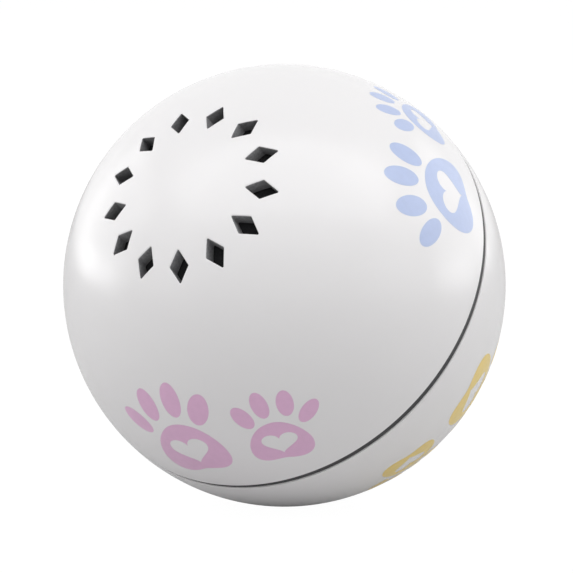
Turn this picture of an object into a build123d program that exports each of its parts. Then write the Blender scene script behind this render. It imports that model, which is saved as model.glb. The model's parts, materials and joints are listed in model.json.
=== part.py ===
from build123d import *
from math import acos, asin, atan2, cos, degrees, pi, radians, sin, sqrt, tan
import os

# Self-rolling cat ball. Lengths are in millimetres.
# Every piece is drawn upright, with the rolling axle along Z, the vented half upwards and the
# motor unit hanging towards -Y. It is then tipped about X into the attitude in which the ball
# rests, where the origin is the ball's centre and +Z is up.

# Attitude at rest: how far the axle's vented end rises above level, and how far the pieces turn
# about the axle so that the heavy side of the motor unit hangs lowest
axle_rise = 32.6
tip_angle = 90 - axle_rise
hang_turn = -7.0

# The two half shells. Their radius is worked out further down, from what they hold.
wall = 2.1
seam_height = 0.93
seam_gap = 1.05
rim_round = 0.16

# The collar of the base shell, and the bore of the vented shell that goes over it
bore_wall = 1.86
bore_depth = 3.9
collar_clearance = 0.25
collar_wall = 1.5
collar_lift = 3.9
collar_lead = 0.3
collar_skirt = 2.0
collar_flare = 2.5

# Rubber ring that lies on the base shell's rim and fills the seam to just below its surface
ring_seat_gap = 0.04
ring_sink = 0.2
ring_end_gap = 0.1
ring_round = 0.12

# Scent vents: a ring of rhombic slots round the pole, cut along the axle
vent_count = 13
vent_ring_r = 11.9
vent_half_length = 2.28
vent_half_width = 1.46
vent_start_angle = 12.3

# Hub and bush at the vented pole
pole_hub_r = 4.6
pole_hub_drop = 8.7
pole_bush_r = 3.0
pole_bush_end_gap = 0.2
pole_bush_flange_r = 4.0
pole_bush_flange = 0.8

# Scent felt and its retainer
felt_gap = 0.2
felt_thickness = 1.5
felt_hub_gap = 1.0
felt_margin = 1.6
retainer_gap = 0.1
retainer_thickness = 1.1
retainer_collar_wall = 1.2
retainer_collar_length = 5.4
push_fit = 0.02

# Driven spindle and the hub that fixes it to the base shell
spindle_r = 1.5
spindle_flat = 0.4
spindle_foot_gap = 0.1
running_gap = 0.04
pad_thickness = 4.6
hub_flange_r = 9.0
hub_flange = 1.6
hub_boss_r = 3.6
hub_boss = 3.4
hub_screw_count = 3
hub_screw_ring_r = 6.6
hub_screw_r = 0.8
hub_screw_depth = 2.2
hub_screw_pilot = 2.4
hub_screw_head_r = 1.6
hub_screw_head = 0.9
screw_clearance = 0.2
thread_gap = 0.05
drive_slot_depth_share = 0.5
grub_r = 0.9
grub_end_gap = 0.05
grub_sink = 0.3
washer_r = 3.2
washer = 0.5
end_float = 0.1

# Case of the motor unit: a slab of a ball, with a flat back, sides, top and bottom
case_gap = 2.5
case_wall = 1.2
case_split = 0.9
case_floor = 1.5
contents_gap = 0.2
roof_gap = 1.3

# Bushes that the spindle turns in
bush_r = 2.6
bush_flange_r = 3.5
bush_flange = 0.8
bush_length = 2.6
bush_boss_wall = 1.0

# Plate between the motor bay and the gears
plate = 1.5
plate_edge_gap = 0.15

# Screw columns of the case
column_r = 2.2
column_sink = 0.4
column_back_gap = 0.7
column_front_gap = 0.6
column_side_gap = 0.4
column_terminal_gap = 0.4
case_screw_r = 0.8
case_screw_bite = 5.0
case_screw_head_r = 1.5
case_screw_head = 1.0
case_screw_cover = 1.6

# Gear train: stub involute teeth
gear_module = 0.5
pressure_angle = 25
addendum_share = 0.8
dedendum_share = 1.05
backlash = 0.12
flank_steps = 4
pinion_teeth = 10
first_wheel_teeth = 28
first_pinion_teeth = 10
second_wheel_teeth = 26
second_pinion_teeth = 12
output_teeth = 28
first_mesh_angle = 212
gear_face = 2.5
pinion_overlap = 0.5
gear_seat = 1.1
gear_pin_r = 0.75
gear_pin_sink = 0.6
gear_hub_r = 1.35
pinion_seat = 1.0
output_gear_gap = 0.5
output_gear_face = 2.7
spindle_end_proud = 0.3

# Motor. Its radius is worked out further down, from its rotor outwards.
motor_x = 9.2
motor_y = -7.0
motor_flat_gap = 0.1
motor_side_gap = 0.6
motor_foot_gap = 1.6
motor_wall = 0.7
motor_cap = 2.3
motor_front_wall = 0.8
motor_nose_r = 3.0
motor_nose = 1.1
nose_gap = 0.1
motor_shaft_r = 0.75
motor_shaft_gap = 0.05
motor_shaft_foot = 1.5
cap_plug = 0.8
cap_plug_gap = 0.05
terminal_half_spread = 2.2
terminal_width = 1.6
terminal_thickness = 0.4
terminal_length = 1.6
magnet_wall = 1.4
magnet_gap = 0.1
magnet_half_angle = 38
magnet_overlap = 1.0
magnet_start = 2.9
air_gap = 0.3
core_length = 9.0
core_poles = 3
core_hub_r = 2.0
winding_room = 2.3
core_arm_width = 1.6
core_shoe = 0.9
core_slot_width = 1.4
winding_width = 4.0
winding_overhang = 0.8
winding_gap = 0.1
commutator_r = 1.7
commutator_length = 1.7
commutator_drop = 0.4
commutator_end_gap = 0.2
brush_thickness = 0.3
brush_height = 1.2
brush_width = 1.6
motor_screw_r = 0.7
motor_screw_offset = 4.4
motor_screw_bite = 0.7
motor_screw_head_r = 1.3
motor_screw_head = 0.6

# Rechargeable cell
cell_x = -8.9
cell_y = -7.5
cell_thickness = 8.0
cell_width = 16.4
cell_height = 16.0
cell_top_gap = 0.6
cell_foot_gap = 0.5
cell_round = 1.2
cell_fold = 1.0
cell_lead_rise = 4.0

# Ballast weight
ballast_half_width = 7.9
ballast_thickness = 9.6
ballast_height = 13.0
ballast_foot_gap = 1.5
ballast_cell_gap = 1.6
ballast_side_gap = 0.3
ballast_round = 0.8

# Idler pin between the unit and the vented half
pin_boss_r = 3.4
pin_boss = 4.5
pin_foot_gap = 0.1
pin_end_gap = 0.8
idle_gap = 3.4

# Circuit board, standing behind the spindle
board_thickness = 1.0
board_back_gap = 0.8
board_gear_gap = 2.8
board_half_width = 13.0
board_foot_gap = 6.5
board_top_gap = 1.4
board_screw_side = 2.6
board_screw_lift = 3.2
board_screw_r = 0.7
board_screw_head_r = 1.3
board_screw_head = 0.7
board_screw_bite = 1.6
board_post_r = 2.0

# Charging socket
socket_edge_gap = 0.53
socket_width = 8.94
socket_height = 3.2
socket_length = 7.3
socket_wall = 0.3
socket_tongue = 0.7
socket_tongue_width = 6.7
socket_throat = 6.0
socket_sink = 0.3
socket_gap = 0.15

# Switch and its button
switch_edge_gap = 2.0
switch_width = 6.0
switch_depth = 3.5
switch_height = 3.0
switch_drop = 2.1
plunger_r = 1.0
plunger = 0.7
button_r = 2.05
button_gap = 0.15
button_flange_r = 2.8
button_flange = 0.6
button_float = 0.1
button_proud = 0.8
button_round = 0.3

# Status lamp
lamp_switch_gap = 0.3
lamp_board_gap = 0.1
lamp_r = 1.5
lamp_gap = 0.1
lamp_drop = 2.2
lamp_proud = 0.4
lamp_lead = 0.4
lamp_lead_half_spread = 0.6

# Chips and wire headers on the board: middle across, middle above the board's foot, width,
# height, thickness
controller_size = (0.0, 11.0, 6.0, 7.0, 1.4)
sensor_size = (-7.5, 14.5, 3.0, 3.0, 1.0)
charger_size = (7.5, 15.5, 3.0, 4.0, 1.1)
header_size = (4.4, 3.4, 3.2)
header_across = 7.0
header_lift = 8.6
header_pin_half_spread = 1.0

# Leads inside the unit
lead_r = 0.4
lead_solder_gap = 0.05
lead_arc_r = 2.0
lead_arc_share = 0.45

# One overrun for every cut that has to pass right through
overrun = 2.0

# Radii of the motor, from its rotor outwards
core_shoe_r = core_hub_r + winding_room
core_r = core_shoe_r + core_shoe
magnet_r = core_r + air_gap + magnet_wall
motor_r = magnet_r + magnet_gap + motor_wall
motor_half_thickness = core_r + motor_flat_gap + motor_wall

# Heights of the motor unit, down and up from the split of its case, and of the hub below it
magnet_length = core_length + 2 * magnet_overlap
brush_end = winding_overhang + commutator_drop + commutator_length + commutator_end_gap
motor_can_length = magnet_start + magnet_length - magnet_overlap + brush_end
plate_low = case_split - plate
can_low = plate_low - motor_can_length
motor_low = can_low - motor_cap
cell_high = plate_low - cell_top_gap
cell_low = cell_high - cell_height
floor_in = min(motor_low - motor_foot_gap, cell_low - cell_foot_gap)
case_low = floor_in - case_floor
boss_top = case_low - bush_flange - end_float - washer
hub_top = boss_top - hub_boss
pad_top = hub_top - hub_flange
wheel_low = case_split + gear_seat
first_pinion_low = wheel_low + gear_face
second_wheel_low = first_pinion_low + pinion_overlap
second_pinion_low = second_wheel_low + gear_face
output_low = second_pinion_low + output_gear_gap
output_high = output_low + output_gear_face
gear_stack_top = output_high + spindle_end_proud
roof_in = gear_stack_top + roof_gap
case_high = roof_in + case_wall

# The ball is as small as its contents allow: what stands on the axle below and above its middle,
# what lies in front of the axle, and the lowest corners of the motor and of the cell
cell_front = cell_width / 2 - cell_y
cell_side = cell_thickness / 2 - cell_x
motor_edge = motor_x + motor_half_thickness
motor_front = sqrt(motor_r**2 - motor_half_thickness**2) - motor_y
contents_r = max(
    cell_front + ballast_cell_gap + ballast_thickness + ballast_side_gap,
    sqrt(motor_edge**2 + motor_front**2 + motor_low**2) + contents_gap,
    sqrt(cell_side**2 + cell_front**2 + cell_low**2) + contents_gap,
)
ball_r = max(
    pad_thickness - pad_top,
    case_high + pin_boss + idle_gap + pole_bush_flange + pole_hub_drop + wall,
    contents_r + case_wall + case_gap + wall,
)
inside_r = ball_r - wall
case_r = inside_r - case_gap
inner_r = case_r - case_wall

# Heights and radii of the shells
base_rim = seam_height - seam_gap / 2
vented_rim = seam_height + seam_gap / 2
bore_r = ball_r - bore_wall
bore_top = vented_rim + bore_depth
collar_r = bore_r - collar_clearance
collar_in_r = collar_r - collar_wall
collar_top = base_rim + collar_lift
collar_low = base_rim - collar_skirt
flare_low = collar_low - collar_flare
pin_top = inside_r - 2 * pole_bush_end_gap - pin_end_gap
pole_hub_low = inside_r - pole_hub_drop
pole_bush_top = inside_r - pole_bush_end_gap - pin_end_gap

# Places across the motor unit: the board stands behind the output gear, and the case is round both
ballast_low = floor_in + ballast_foot_gap
ballast_back = -(inner_r - ballast_side_gap - ballast_thickness)
output_tip_r = gear_module * (output_teeth / 2 + addendum_share)
board_face = output_tip_r + board_gear_gap
board_back = board_face + board_thickness
back_in = board_back + board_back_gap
case_back = back_in + case_wall
side_in = motor_edge + motor_side_gap
case_half_width = side_in + case_wall
column_back_x = side_in + column_sink - column_r
terminal_y = motor_y + sqrt(motor_r**2 - (terminal_half_spread + terminal_width / 2) ** 2)
terminal_side = column_back_x - motor_x - terminal_half_spread - terminal_width / 2
column_reach = column_r + column_terminal_gap
column_back_y = max(
    cell_y + cell_width / 2 + column_back_gap + column_r,
    terminal_y + terminal_length + sqrt(max(0, column_reach**2 - terminal_side**2)),
)
column_front_x = ballast_half_width + column_side_gap + column_r
column_front_y = -cell_front - column_front_gap - column_r
columns = [
    (side * across, along)
    for across, along in ((column_back_x, column_back_y), (column_front_x, column_front_y))
    for side in (1, -1)
]

# Places on the board
board_low = floor_in + board_foot_gap
board_high = roof_in - board_top_gap
board_screw_x = board_half_width - board_screw_side
board_screw_z = board_low + board_screw_lift
socket_x = -(board_half_width - socket_edge_gap - socket_width / 2)
socket_y = board_face - socket_height / 2
socket_high = case_high - socket_sink
switch_x = board_half_width - switch_edge_gap - switch_width / 2
switch_y = board_face - switch_depth / 2
switch_high = roof_in - switch_drop
lamp_x = switch_x - switch_width / 2 - lamp_switch_gap - lamp_r
lamp_y = board_face - lamp_board_gap - lamp_r
header_up = board_low + header_lift


def sphere_height(radius, distance):
    """Height at which a ball of this radius is this far from its axis."""
    return sqrt(radius**2 - distance**2)


def pitch_r(teeth):
    return gear_module * teeth / 2


def mesh_phase(angle, phase, teeth, mate_teeth):
    """Phase of a mating gear, whose gap meets this gear's tooth along the line of centres."""
    return angle + 180 - 180 / mate_teeth + (angle - phase) * teeth / mate_teeth


# Centres and phases of the gears, from the motor to the spindle
first_distance = pitch_r(pinion_teeth) + pitch_r(first_wheel_teeth)
second_distance = pitch_r(first_pinion_teeth) + pitch_r(second_wheel_teeth)
third_distance = pitch_r(second_pinion_teeth) + pitch_r(output_teeth)
first_x = motor_x + first_distance * cos(radians(first_mesh_angle))
first_y = motor_y + first_distance * sin(radians(first_mesh_angle))
first_reach = sqrt(first_x**2 + first_y**2)
second_corner = degrees(
    acos(
        (third_distance**2 + first_reach**2 - second_distance**2)
        / (2 * third_distance * first_reach)
    )
)
second_bearing = degrees(atan2(first_y, first_x)) - second_corner
second_x = third_distance * cos(radians(second_bearing))
second_y = third_distance * sin(radians(second_bearing))
second_mesh_angle = degrees(atan2(second_y - first_y, second_x - first_x))
third_mesh_angle = second_bearing + 180
first_wheel_phase = mesh_phase(first_mesh_angle, 0, pinion_teeth, first_wheel_teeth)
second_wheel_phase = mesh_phase(second_mesh_angle, 0, first_pinion_teeth, second_wheel_teeth)
output_phase = mesh_phase(third_mesh_angle, 0, second_pinion_teeth, output_teeth)


def involute(angle):
    return tan(angle) - angle


def tooth_half_angle(teeth, radius):
    """Half the angle that a tooth fills at this radius, in radians."""
    base_r = pitch_r(teeth) * cos(radians(pressure_angle))
    at_pitch = (pi * gear_module / 2 - backlash / 2) / (2 * pitch_r(teeth))
    lean = involute(acos(min(1, base_r / radius)))
    return at_pitch + involute(radians(pressure_angle)) - lean


def gear_points(teeth, phase):
    """Outline of a spur gear, with one tooth pointing along the phase angle."""
    base_r = pitch_r(teeth) * cos(radians(pressure_angle))
    root_r = pitch_r(teeth) - dedendum_share * gear_module
    tip_r = pitch_r(teeth) + addendum_share * gear_module
    foot_r = max(root_r, base_r)
    rise = [foot_r + (tip_r - foot_r) * step / flank_steps for step in range(flank_steps + 1)]
    flank = [(radius, tooth_half_angle(teeth, radius)) for radius in rise]
    if root_r < base_r:
        flank.insert(0, (root_r, tooth_half_angle(teeth, base_r)))
    tooth = [(radius, -half) for radius, half in flank] + [(r, half) for r, half in flank[::-1]]
    points = []
    for index in range(teeth):
        middle = radians(phase) + 2 * pi * index / teeth
        points += [(r * cos(middle + turn), r * sin(middle + turn)) for r, turn in tooth]
    return points


def draw_gear(teeth, phase):
    """Face of a spur gear, inside the sketch that is open."""
    with BuildLine() as outline:
        Polyline(*gear_points(teeth, phase), close=True)
    make_face(outline.edges())


def draw_case_slab(radius, half_width, back, low, high):
    """Slab of a ball with a flat back, sides, top and bottom, inside the part that is open."""
    Sphere(radius)
    with Locations((0, (back - radius) / 2, (low + high) / 2)):
        Box(2 * half_width, back + radius, high - low, mode=Mode.INTERSECT)


def finish(block, name):
    """Tip a finished piece into the rest attitude and write it."""
    tipped = block.part.rotate(Axis.Z, hang_turn).rotate(Axis.X, tip_angle)
    tipped.label = name
    export_step(tipped, f"parts/{name}.step")


os.makedirs("parts", exist_ok=True)

# Vented half: shell
with BuildPart() as vented_shell:
    with BuildSketch(Plane.XZ):
        with BuildLine():
            rim_r = sphere_height(ball_r, vented_rim)
            ThreePointArc(
                (rim_r, vented_rim),
                (ball_r * cos(pi / 4), ball_r * sin(pi / 4)),
                (0, ball_r),
            )
            Line((0, ball_r), (0, inside_r))
            step_r = sphere_height(inside_r, bore_top)
            ThreePointArc(
                (0, inside_r),
                (inside_r * cos(pi / 4), inside_r * sin(pi / 4)),
                (step_r, bore_top),
            )
            Polyline((step_r, bore_top), (bore_r, bore_top), (bore_r, vented_rim), (rim_r, vented_rim))
        make_face()
    revolve(axis=Axis.Z)
    rim_edge = vented_shell.edges().filter_by(GeomType.CIRCLE).filter_by_position(
        Axis.Z, vented_rim - seam_gap, vented_rim + seam_gap
    ).sort_by(SortBy.RADIUS)[-1]
    fillet(rim_edge, rim_round)
    with BuildSketch(Plane.XY.offset(pole_hub_low)):
        Circle(pole_hub_r)
    extrude(amount=pole_hub_drop + wall / 2)
    with BuildSketch(Plane.XY.offset(pole_hub_low)):
        Circle(pole_bush_r)
    extrude(amount=pole_bush_top - pole_hub_low, mode=Mode.SUBTRACT)
    with BuildSketch(Plane.XY.offset(pole_hub_low)):
        with PolarLocations(vent_ring_r, vent_count, start_angle=vent_start_angle):
            Polygon(
                (vent_half_length, 0),
                (0, vent_half_width),
                (-vent_half_length, 0),
                (0, -vent_half_width),
            )
    extrude(amount=ball_r - pole_hub_low + overrun, mode=Mode.SUBTRACT)
finish(vented_shell, "vented_shell")

# Vented half: bush for the idler pin
with BuildPart() as pole_bush:
    with BuildSketch(Plane.XY.offset(pole_hub_low - pole_bush_flange)):
        Circle(pole_bush_flange_r)
    extrude(amount=pole_bush_flange)
    with BuildSketch(Plane.XY.offset(pole_hub_low)):
        Circle(pole_bush_r - push_fit)
    extrude(amount=pole_bush_top - pole_bush_end_gap - pole_hub_low)
    with BuildSketch(Plane.XY.offset(pole_hub_low - pole_bush_flange)):
        Circle(spindle_r + running_gap)
    extrude(amount=ball_r, mode=Mode.SUBTRACT)
finish(pole_bush, "pole_bush")


def draw_cup_band(outer_r, thickness, low_angle, high_angle):
    """Band of a spherical cup between two angles from the pole, inside the sketch that is open."""
    inner = outer_r - thickness
    middle = radians((low_angle + high_angle) / 2)
    start, end = radians(low_angle), radians(high_angle)
    with BuildLine() as outline:
        ThreePointArc(
            (outer_r * sin(start), outer_r * cos(start)),
            (outer_r * sin(middle), outer_r * cos(middle)),
            (outer_r * sin(end), outer_r * cos(end)),
        )
        Line((outer_r * sin(end), outer_r * cos(end)), (inner * sin(end), inner * cos(end)))
        ThreePointArc(
            (inner * sin(end), inner * cos(end)),
            (inner * sin(middle), inner * cos(middle)),
            (inner * sin(start), inner * cos(start)),
        )
        Line((inner * sin(start), inner * cos(start)), (outer_r * sin(start), outer_r * cos(start)))
    make_face(outline.edges())


# Vented half: scent felt, pressed to the shell behind the vents
felt_r = inside_r - felt_gap
felt_inner_angle = degrees(asin((pole_hub_r + felt_hub_gap) / felt_r))
felt_outer_angle = degrees(asin((vent_ring_r + vent_half_length + felt_margin) / felt_r))
with BuildPart() as scent_felt:
    with BuildSketch(Plane.XZ):
        draw_cup_band(felt_r, felt_thickness, felt_inner_angle, felt_outer_angle)
    revolve(axis=Axis.Z)
finish(scent_felt, "scent_felt")

# Vented half: retainer, a cup pushed onto the pole hub under the felt
retainer_r = felt_r - felt_thickness - retainer_gap
retainer_collar_r = pole_hub_r + push_fit + retainer_collar_wall
with BuildPart() as felt_retainer:
    with BuildSketch(Plane.XZ):
        retainer_start = degrees(atan2(pole_hub_r + retainer_collar_wall / 2, retainer_r))
        draw_cup_band(retainer_r, retainer_thickness, retainer_start, felt_outer_angle)
    revolve(axis=Axis.Z)
    with BuildSketch(Plane.XY.offset(pole_hub_low + end_float)):
        Circle(retainer_collar_r)
    extrude(amount=retainer_collar_length)
    with BuildSketch(Plane.XY.offset(pole_hub_low)):
        Circle(pole_hub_r + push_fit)
    extrude(amount=ball_r, mode=Mode.SUBTRACT)
finish(felt_retainer, "felt_retainer")

# Base half: shell with its collar, hub pad and screw pilots
with BuildPart() as base_shell:
    with BuildSketch(Plane.XZ):
        with BuildLine():
            rim_r = sphere_height(ball_r, base_rim)
            flare_r = sphere_height(inside_r, flare_low)
            pad_r = sphere_height(inside_r, pad_top)
            ThreePointArc(
                (0, -ball_r),
                (ball_r * cos(pi / 4), -ball_r * sin(pi / 4)),
                (rim_r, base_rim),
            )
            Polyline(
                (rim_r, base_rim),
                (collar_r, base_rim),
                (collar_r, collar_top - collar_lead),
                (collar_r - collar_lead, collar_top),
                (collar_in_r, collar_top),
                (collar_in_r, collar_low),
                (flare_r, flare_low),
            )
            ThreePointArc(
                (flare_r, flare_low),
                (inside_r * cos(pi / 4), -inside_r * sin(pi / 4)),
                (pad_r, pad_top),
            )
            Polyline((pad_r, pad_top), (0, pad_top), (0, -ball_r))
        make_face()
    revolve(axis=Axis.Z)
    rim_edge = base_shell.edges().filter_by(GeomType.CIRCLE).filter_by_position(
        Axis.Z, base_rim - seam_gap, base_rim + seam_gap
    ).sort_by(SortBy.RADIUS)[-1]
    fillet(rim_edge, rim_round)
    with BuildSketch(Plane.XY.offset(pad_top)):
        with PolarLocations(hub_screw_ring_r, hub_screw_count):
            Circle(hub_screw_r + thread_gap)
    extrude(amount=-hub_screw_pilot, mode=Mode.SUBTRACT)
finish(base_shell, "base_shell")

# Base half: sealing ring round the collar, which shows as the dark line of the seam
ring_in_r = collar_r + ring_seat_gap
ring_high = vented_rim - ring_end_gap
ring_r = sphere_height(ball_r - ring_sink, ring_high)
with BuildPart() as sealing_ring:
    with BuildSketch(Plane.XY.offset(base_rim)):
        Circle(ring_r)
        Circle(ring_in_r, mode=Mode.SUBTRACT)
    extrude(amount=ring_high - base_rim)
    ring_edges = sealing_ring.edges().filter_by_position(Axis.Z, ring_high, ring_high)
    fillet(ring_edges.sort_by(SortBy.RADIUS)[-1], ring_round)
finish(sealing_ring, "sealing_ring")

# Base half: hub that carries the spindle
with BuildPart() as drive_hub:
    with BuildSketch(Plane.XY.offset(pad_top)):
        Circle(hub_flange_r)
    extrude(amount=hub_flange)
    with BuildSketch(Plane.XY.offset(hub_top)):
        Circle(hub_boss_r)
    extrude(amount=hub_boss)
    with BuildSketch(Plane.XY.offset(pad_top)):
        Circle(spindle_r + push_fit)
        with Locations((spindle_r - spindle_flat + push_fit, 0)):
            Rectangle(spindle_r, 2 * spindle_r, align=(Align.MIN, Align.CENTER), mode=Mode.SUBTRACT)
    extrude(amount=hub_flange + hub_boss, mode=Mode.SUBTRACT)
    with BuildSketch(Plane.XY.offset(pad_top)):
        with PolarLocations(hub_screw_ring_r, hub_screw_count):
            Circle(hub_screw_r + screw_clearance)
    extrude(amount=hub_flange, mode=Mode.SUBTRACT)
    with BuildSketch(Plane.YZ):
        with Locations((0, hub_top + hub_boss / 2)):
            Circle(grub_r + thread_gap)
    extrude(amount=hub_flange_r, mode=Mode.SUBTRACT)
finish(drive_hub, "drive_hub")

# Base half: hub screws
with BuildPart() as hub_screws:
    with BuildSketch(Plane.XY.offset(pad_top - hub_screw_depth)):
        with PolarLocations(hub_screw_ring_r, hub_screw_count):
            Circle(hub_screw_r)
    extrude(amount=hub_screw_depth + hub_flange)
    with BuildSketch(Plane.XY.offset(hub_top)):
        with PolarLocations(hub_screw_ring_r, hub_screw_count):
            Circle(hub_screw_head_r)
    extrude(amount=hub_screw_head)
    with BuildSketch(Plane.XY.offset(hub_top + hub_screw_head)):
        with PolarLocations(hub_screw_ring_r, hub_screw_count):
            Rectangle(hub_screw_head_r, hub_screw_head_r / 4)
            Rectangle(hub_screw_head_r / 4, hub_screw_head_r)
    extrude(amount=-hub_screw_head * drive_slot_depth_share, mode=Mode.SUBTRACT)
finish(hub_screws, "hub_screws")

# Base half: grub screw in the hub, against the spindle's flat
with BuildPart() as hub_grub_screw:
    with BuildSketch(Plane.YZ.offset(spindle_r - spindle_flat + grub_end_gap)):
        with Locations((0, hub_top + hub_boss / 2)):
            Circle(grub_r)
    extrude(amount=hub_boss_r - grub_sink - spindle_r + spindle_flat)
    with BuildSketch(Plane.YZ.offset(hub_boss_r - grub_sink + grub_end_gap)):
        with Locations((0, hub_top + hub_boss / 2)):
            RegularPolygon(grub_r / 2, 6)
    extrude(amount=-grub_r, mode=Mode.SUBTRACT)
finish(hub_grub_screw, "hub_grub_screw")

# Base half: spindle, with a flat at each end
with BuildPart() as spindle:
    spindle_low = pad_top + spindle_foot_gap
    with BuildSketch(Plane.XY.offset(spindle_low)):
        Circle(spindle_r)
    extrude(amount=gear_stack_top - spindle_low)
    for flat_low, flat_length in (
        (spindle_low, boss_top - spindle_low),
        (output_low - end_float, gear_stack_top - output_low + end_float),
    ):
        with BuildSketch(Plane.XY.offset(flat_low)):
            with Locations((spindle_r - spindle_flat, 0)):
                Rectangle(spindle_r, 2 * spindle_r, align=(Align.MIN, Align.CENTER))
        extrude(amount=flat_length, mode=Mode.SUBTRACT)
finish(spindle, "spindle")

# Base half: thrust washer between the hub and the unit
with BuildPart() as thrust_washer:
    with BuildSketch(Plane.XY.offset(boss_top)):
        Circle(washer_r)
        Circle(spindle_r + push_fit, mode=Mode.SUBTRACT)
    extrude(amount=washer)
finish(thrust_washer, "thrust_washer")

# Base half: output gear, on the spindle's upper flat
with BuildPart() as output_gear:
    with BuildSketch(Plane.XY.offset(output_low)):
        draw_gear(output_teeth, output_phase)
    extrude(amount=output_gear_face)
    with BuildSketch(Plane.XY.offset(output_low)):
        Circle(spindle_r + push_fit)
        with Locations((spindle_r - spindle_flat + push_fit, 0)):
            Rectangle(spindle_r, 2 * spindle_r, align=(Align.MIN, Align.CENTER), mode=Mode.SUBTRACT)
    extrude(amount=output_gear_face, mode=Mode.SUBTRACT)
finish(output_gear, "output_gear")

# Motor unit: the space inside the case
with BuildPart() as case_space:
    draw_case_slab(inner_r, side_in, back_in, floor_in, roof_in)

# Motor unit: screw columns of the lower case, which run down into its rounded wall
with BuildPart() as base_columns:
    draw_case_slab(case_r - case_wall / 2, side_in, back_in, case_low + case_floor / 2, plate_low)
    with BuildSketch(Plane.XY.offset(case_low)):
        with Locations(*columns):
            Circle(column_r)
    extrude(amount=plate_low - case_low, mode=Mode.INTERSECT)

# Motor unit: lower case, with screw columns, bush seat and board posts
with BuildPart() as case_base:
    draw_case_slab(case_r, case_half_width, case_back, case_low, case_split)
    add(case_space.part, mode=Mode.SUBTRACT)
    add(base_columns.part)
    with BuildSketch(Plane.XY.offset(case_low)):
        Circle(bush_r + bush_boss_wall)
    extrude(amount=bush_length)
    with BuildSketch(Plane.XY.offset(case_low)):
        Circle(bush_r)
    extrude(amount=bush_length, mode=Mode.SUBTRACT)
    with BuildSketch(Plane.XZ.offset(-case_back + case_wall / 2)):
        with Locations((board_screw_x, board_screw_z), (-board_screw_x, board_screw_z)):
            Circle(board_post_r)
    extrude(amount=board_back_gap + case_wall / 2)
    with BuildSketch(Plane.XZ.offset(-board_back)):
        with Locations((board_screw_x, board_screw_z), (-board_screw_x, board_screw_z)):
            Circle(board_screw_r + thread_gap)
    extrude(amount=-board_screw_bite, mode=Mode.SUBTRACT)
    with BuildSketch(Plane.XY.offset(plate_low)):
        with Locations(*columns):
            Circle(case_screw_r + thread_gap)
    extrude(amount=-case_screw_bite, mode=Mode.SUBTRACT)
finish(case_base, "case_base")

# Motor unit: cover, with the pin boss, screw columns and the openings for socket, button and lamp
with BuildPart() as case_cover:
    draw_case_slab(case_r, case_half_width, case_back, case_split, case_high)
    add(case_space.part, mode=Mode.SUBTRACT)
    with BuildSketch(Plane.XY.offset(case_split)):
        with Locations(*columns):
            Circle(column_r)
    extrude(amount=case_high - case_split)
    with BuildSketch(Plane.XY.offset(case_high)):
        Circle(pin_boss_r)
    extrude(amount=pin_boss)
    with BuildSketch(Plane.XY.offset(gear_stack_top)):
        with Locations((first_x, first_y), (second_x, second_y)):
            Circle(gear_hub_r)
    extrude(amount=case_high - gear_stack_top)
    with BuildSketch(Plane.XY.offset(gear_stack_top)):
        with Locations((first_x, first_y), (second_x, second_y)):
            Circle(gear_pin_r + push_fit)
    extrude(amount=roof_in - gear_stack_top + gear_pin_sink, mode=Mode.SUBTRACT)
    with BuildSketch(Plane.XY.offset(case_split)):
        Circle(spindle_r + push_fit)
    extrude(amount=case_high + pin_boss - case_split, mode=Mode.SUBTRACT)
    with BuildSketch(Plane.XY.offset(case_split)):
        with Locations(*columns):
            Circle(case_screw_r + screw_clearance)
    extrude(amount=case_high - case_split, mode=Mode.SUBTRACT)
    with BuildSketch(Plane.XY.offset(case_high)):
        with Locations(*columns):
            Circle(case_screw_head_r + screw_clearance)
    extrude(amount=-case_screw_cover, mode=Mode.SUBTRACT)
    with BuildSketch(Plane.XY.offset(case_high)):
        with Locations((socket_x, socket_y)):
            SlotOverall(socket_width + 2 * socket_gap, socket_height + 2 * socket_gap)
        with Locations((switch_x, switch_y)):
            Circle(button_r + button_gap)
        with Locations((lamp_x, lamp_y)):
            Circle(lamp_r + lamp_gap)
    extrude(amount=-case_wall, mode=Mode.SUBTRACT)
finish(case_cover, "case_cover")

# Motor unit: plate that carries the motor, the upper bush and the gear pins
with BuildPart() as gear_plate:
    draw_case_slab(inner_r - plate_edge_gap, side_in - plate_edge_gap, back_in - plate_edge_gap,
                   plate_low, case_split)
    with BuildSketch(Plane.XY.offset(case_split)):
        with Locations((first_x, first_y), (second_x, second_y)):
            Circle(gear_hub_r)
    extrude(amount=gear_seat)
    with BuildSketch(Plane.XY.offset(plate_low)):
        Circle(bush_r)
        with Locations((motor_x, motor_y)):
            Circle(motor_nose_r + nose_gap)
        with Locations(*columns):
            Circle(case_screw_r + screw_clearance)
        with Locations((motor_x, motor_y + motor_screw_offset), (motor_x, motor_y - motor_screw_offset)):
            Circle(motor_screw_r + screw_clearance)
        with Locations((first_x, first_y), (second_x, second_y)):
            Circle(gear_pin_r + push_fit)
        with Locations((0, board_face - socket_height)):
            Rectangle(2 * case_half_width, case_r, align=(Align.CENTER, Align.MIN))
    extrude(amount=plate + gear_seat, mode=Mode.SUBTRACT)
finish(gear_plate, "gear_plate")

# Motor unit: the two bushes, flanged at the outer ends of their span
with BuildPart() as spindle_bushes:
    for seat, direction in ((case_low, 1), (case_split, -1)):
        with BuildSketch(Plane.XY.offset(seat)):
            Circle(bush_flange_r)
        extrude(amount=-direction * bush_flange)
        with BuildSketch(Plane.XY.offset(seat)):
            Circle(bush_r - push_fit)
        extrude(amount=direction * bush_length)
    with BuildSketch(Plane.XY.offset(-ball_r)):
        Circle(spindle_r + running_gap)
    extrude(amount=2 * ball_r, mode=Mode.SUBTRACT)
finish(spindle_bushes, "spindle_bushes")

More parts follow.
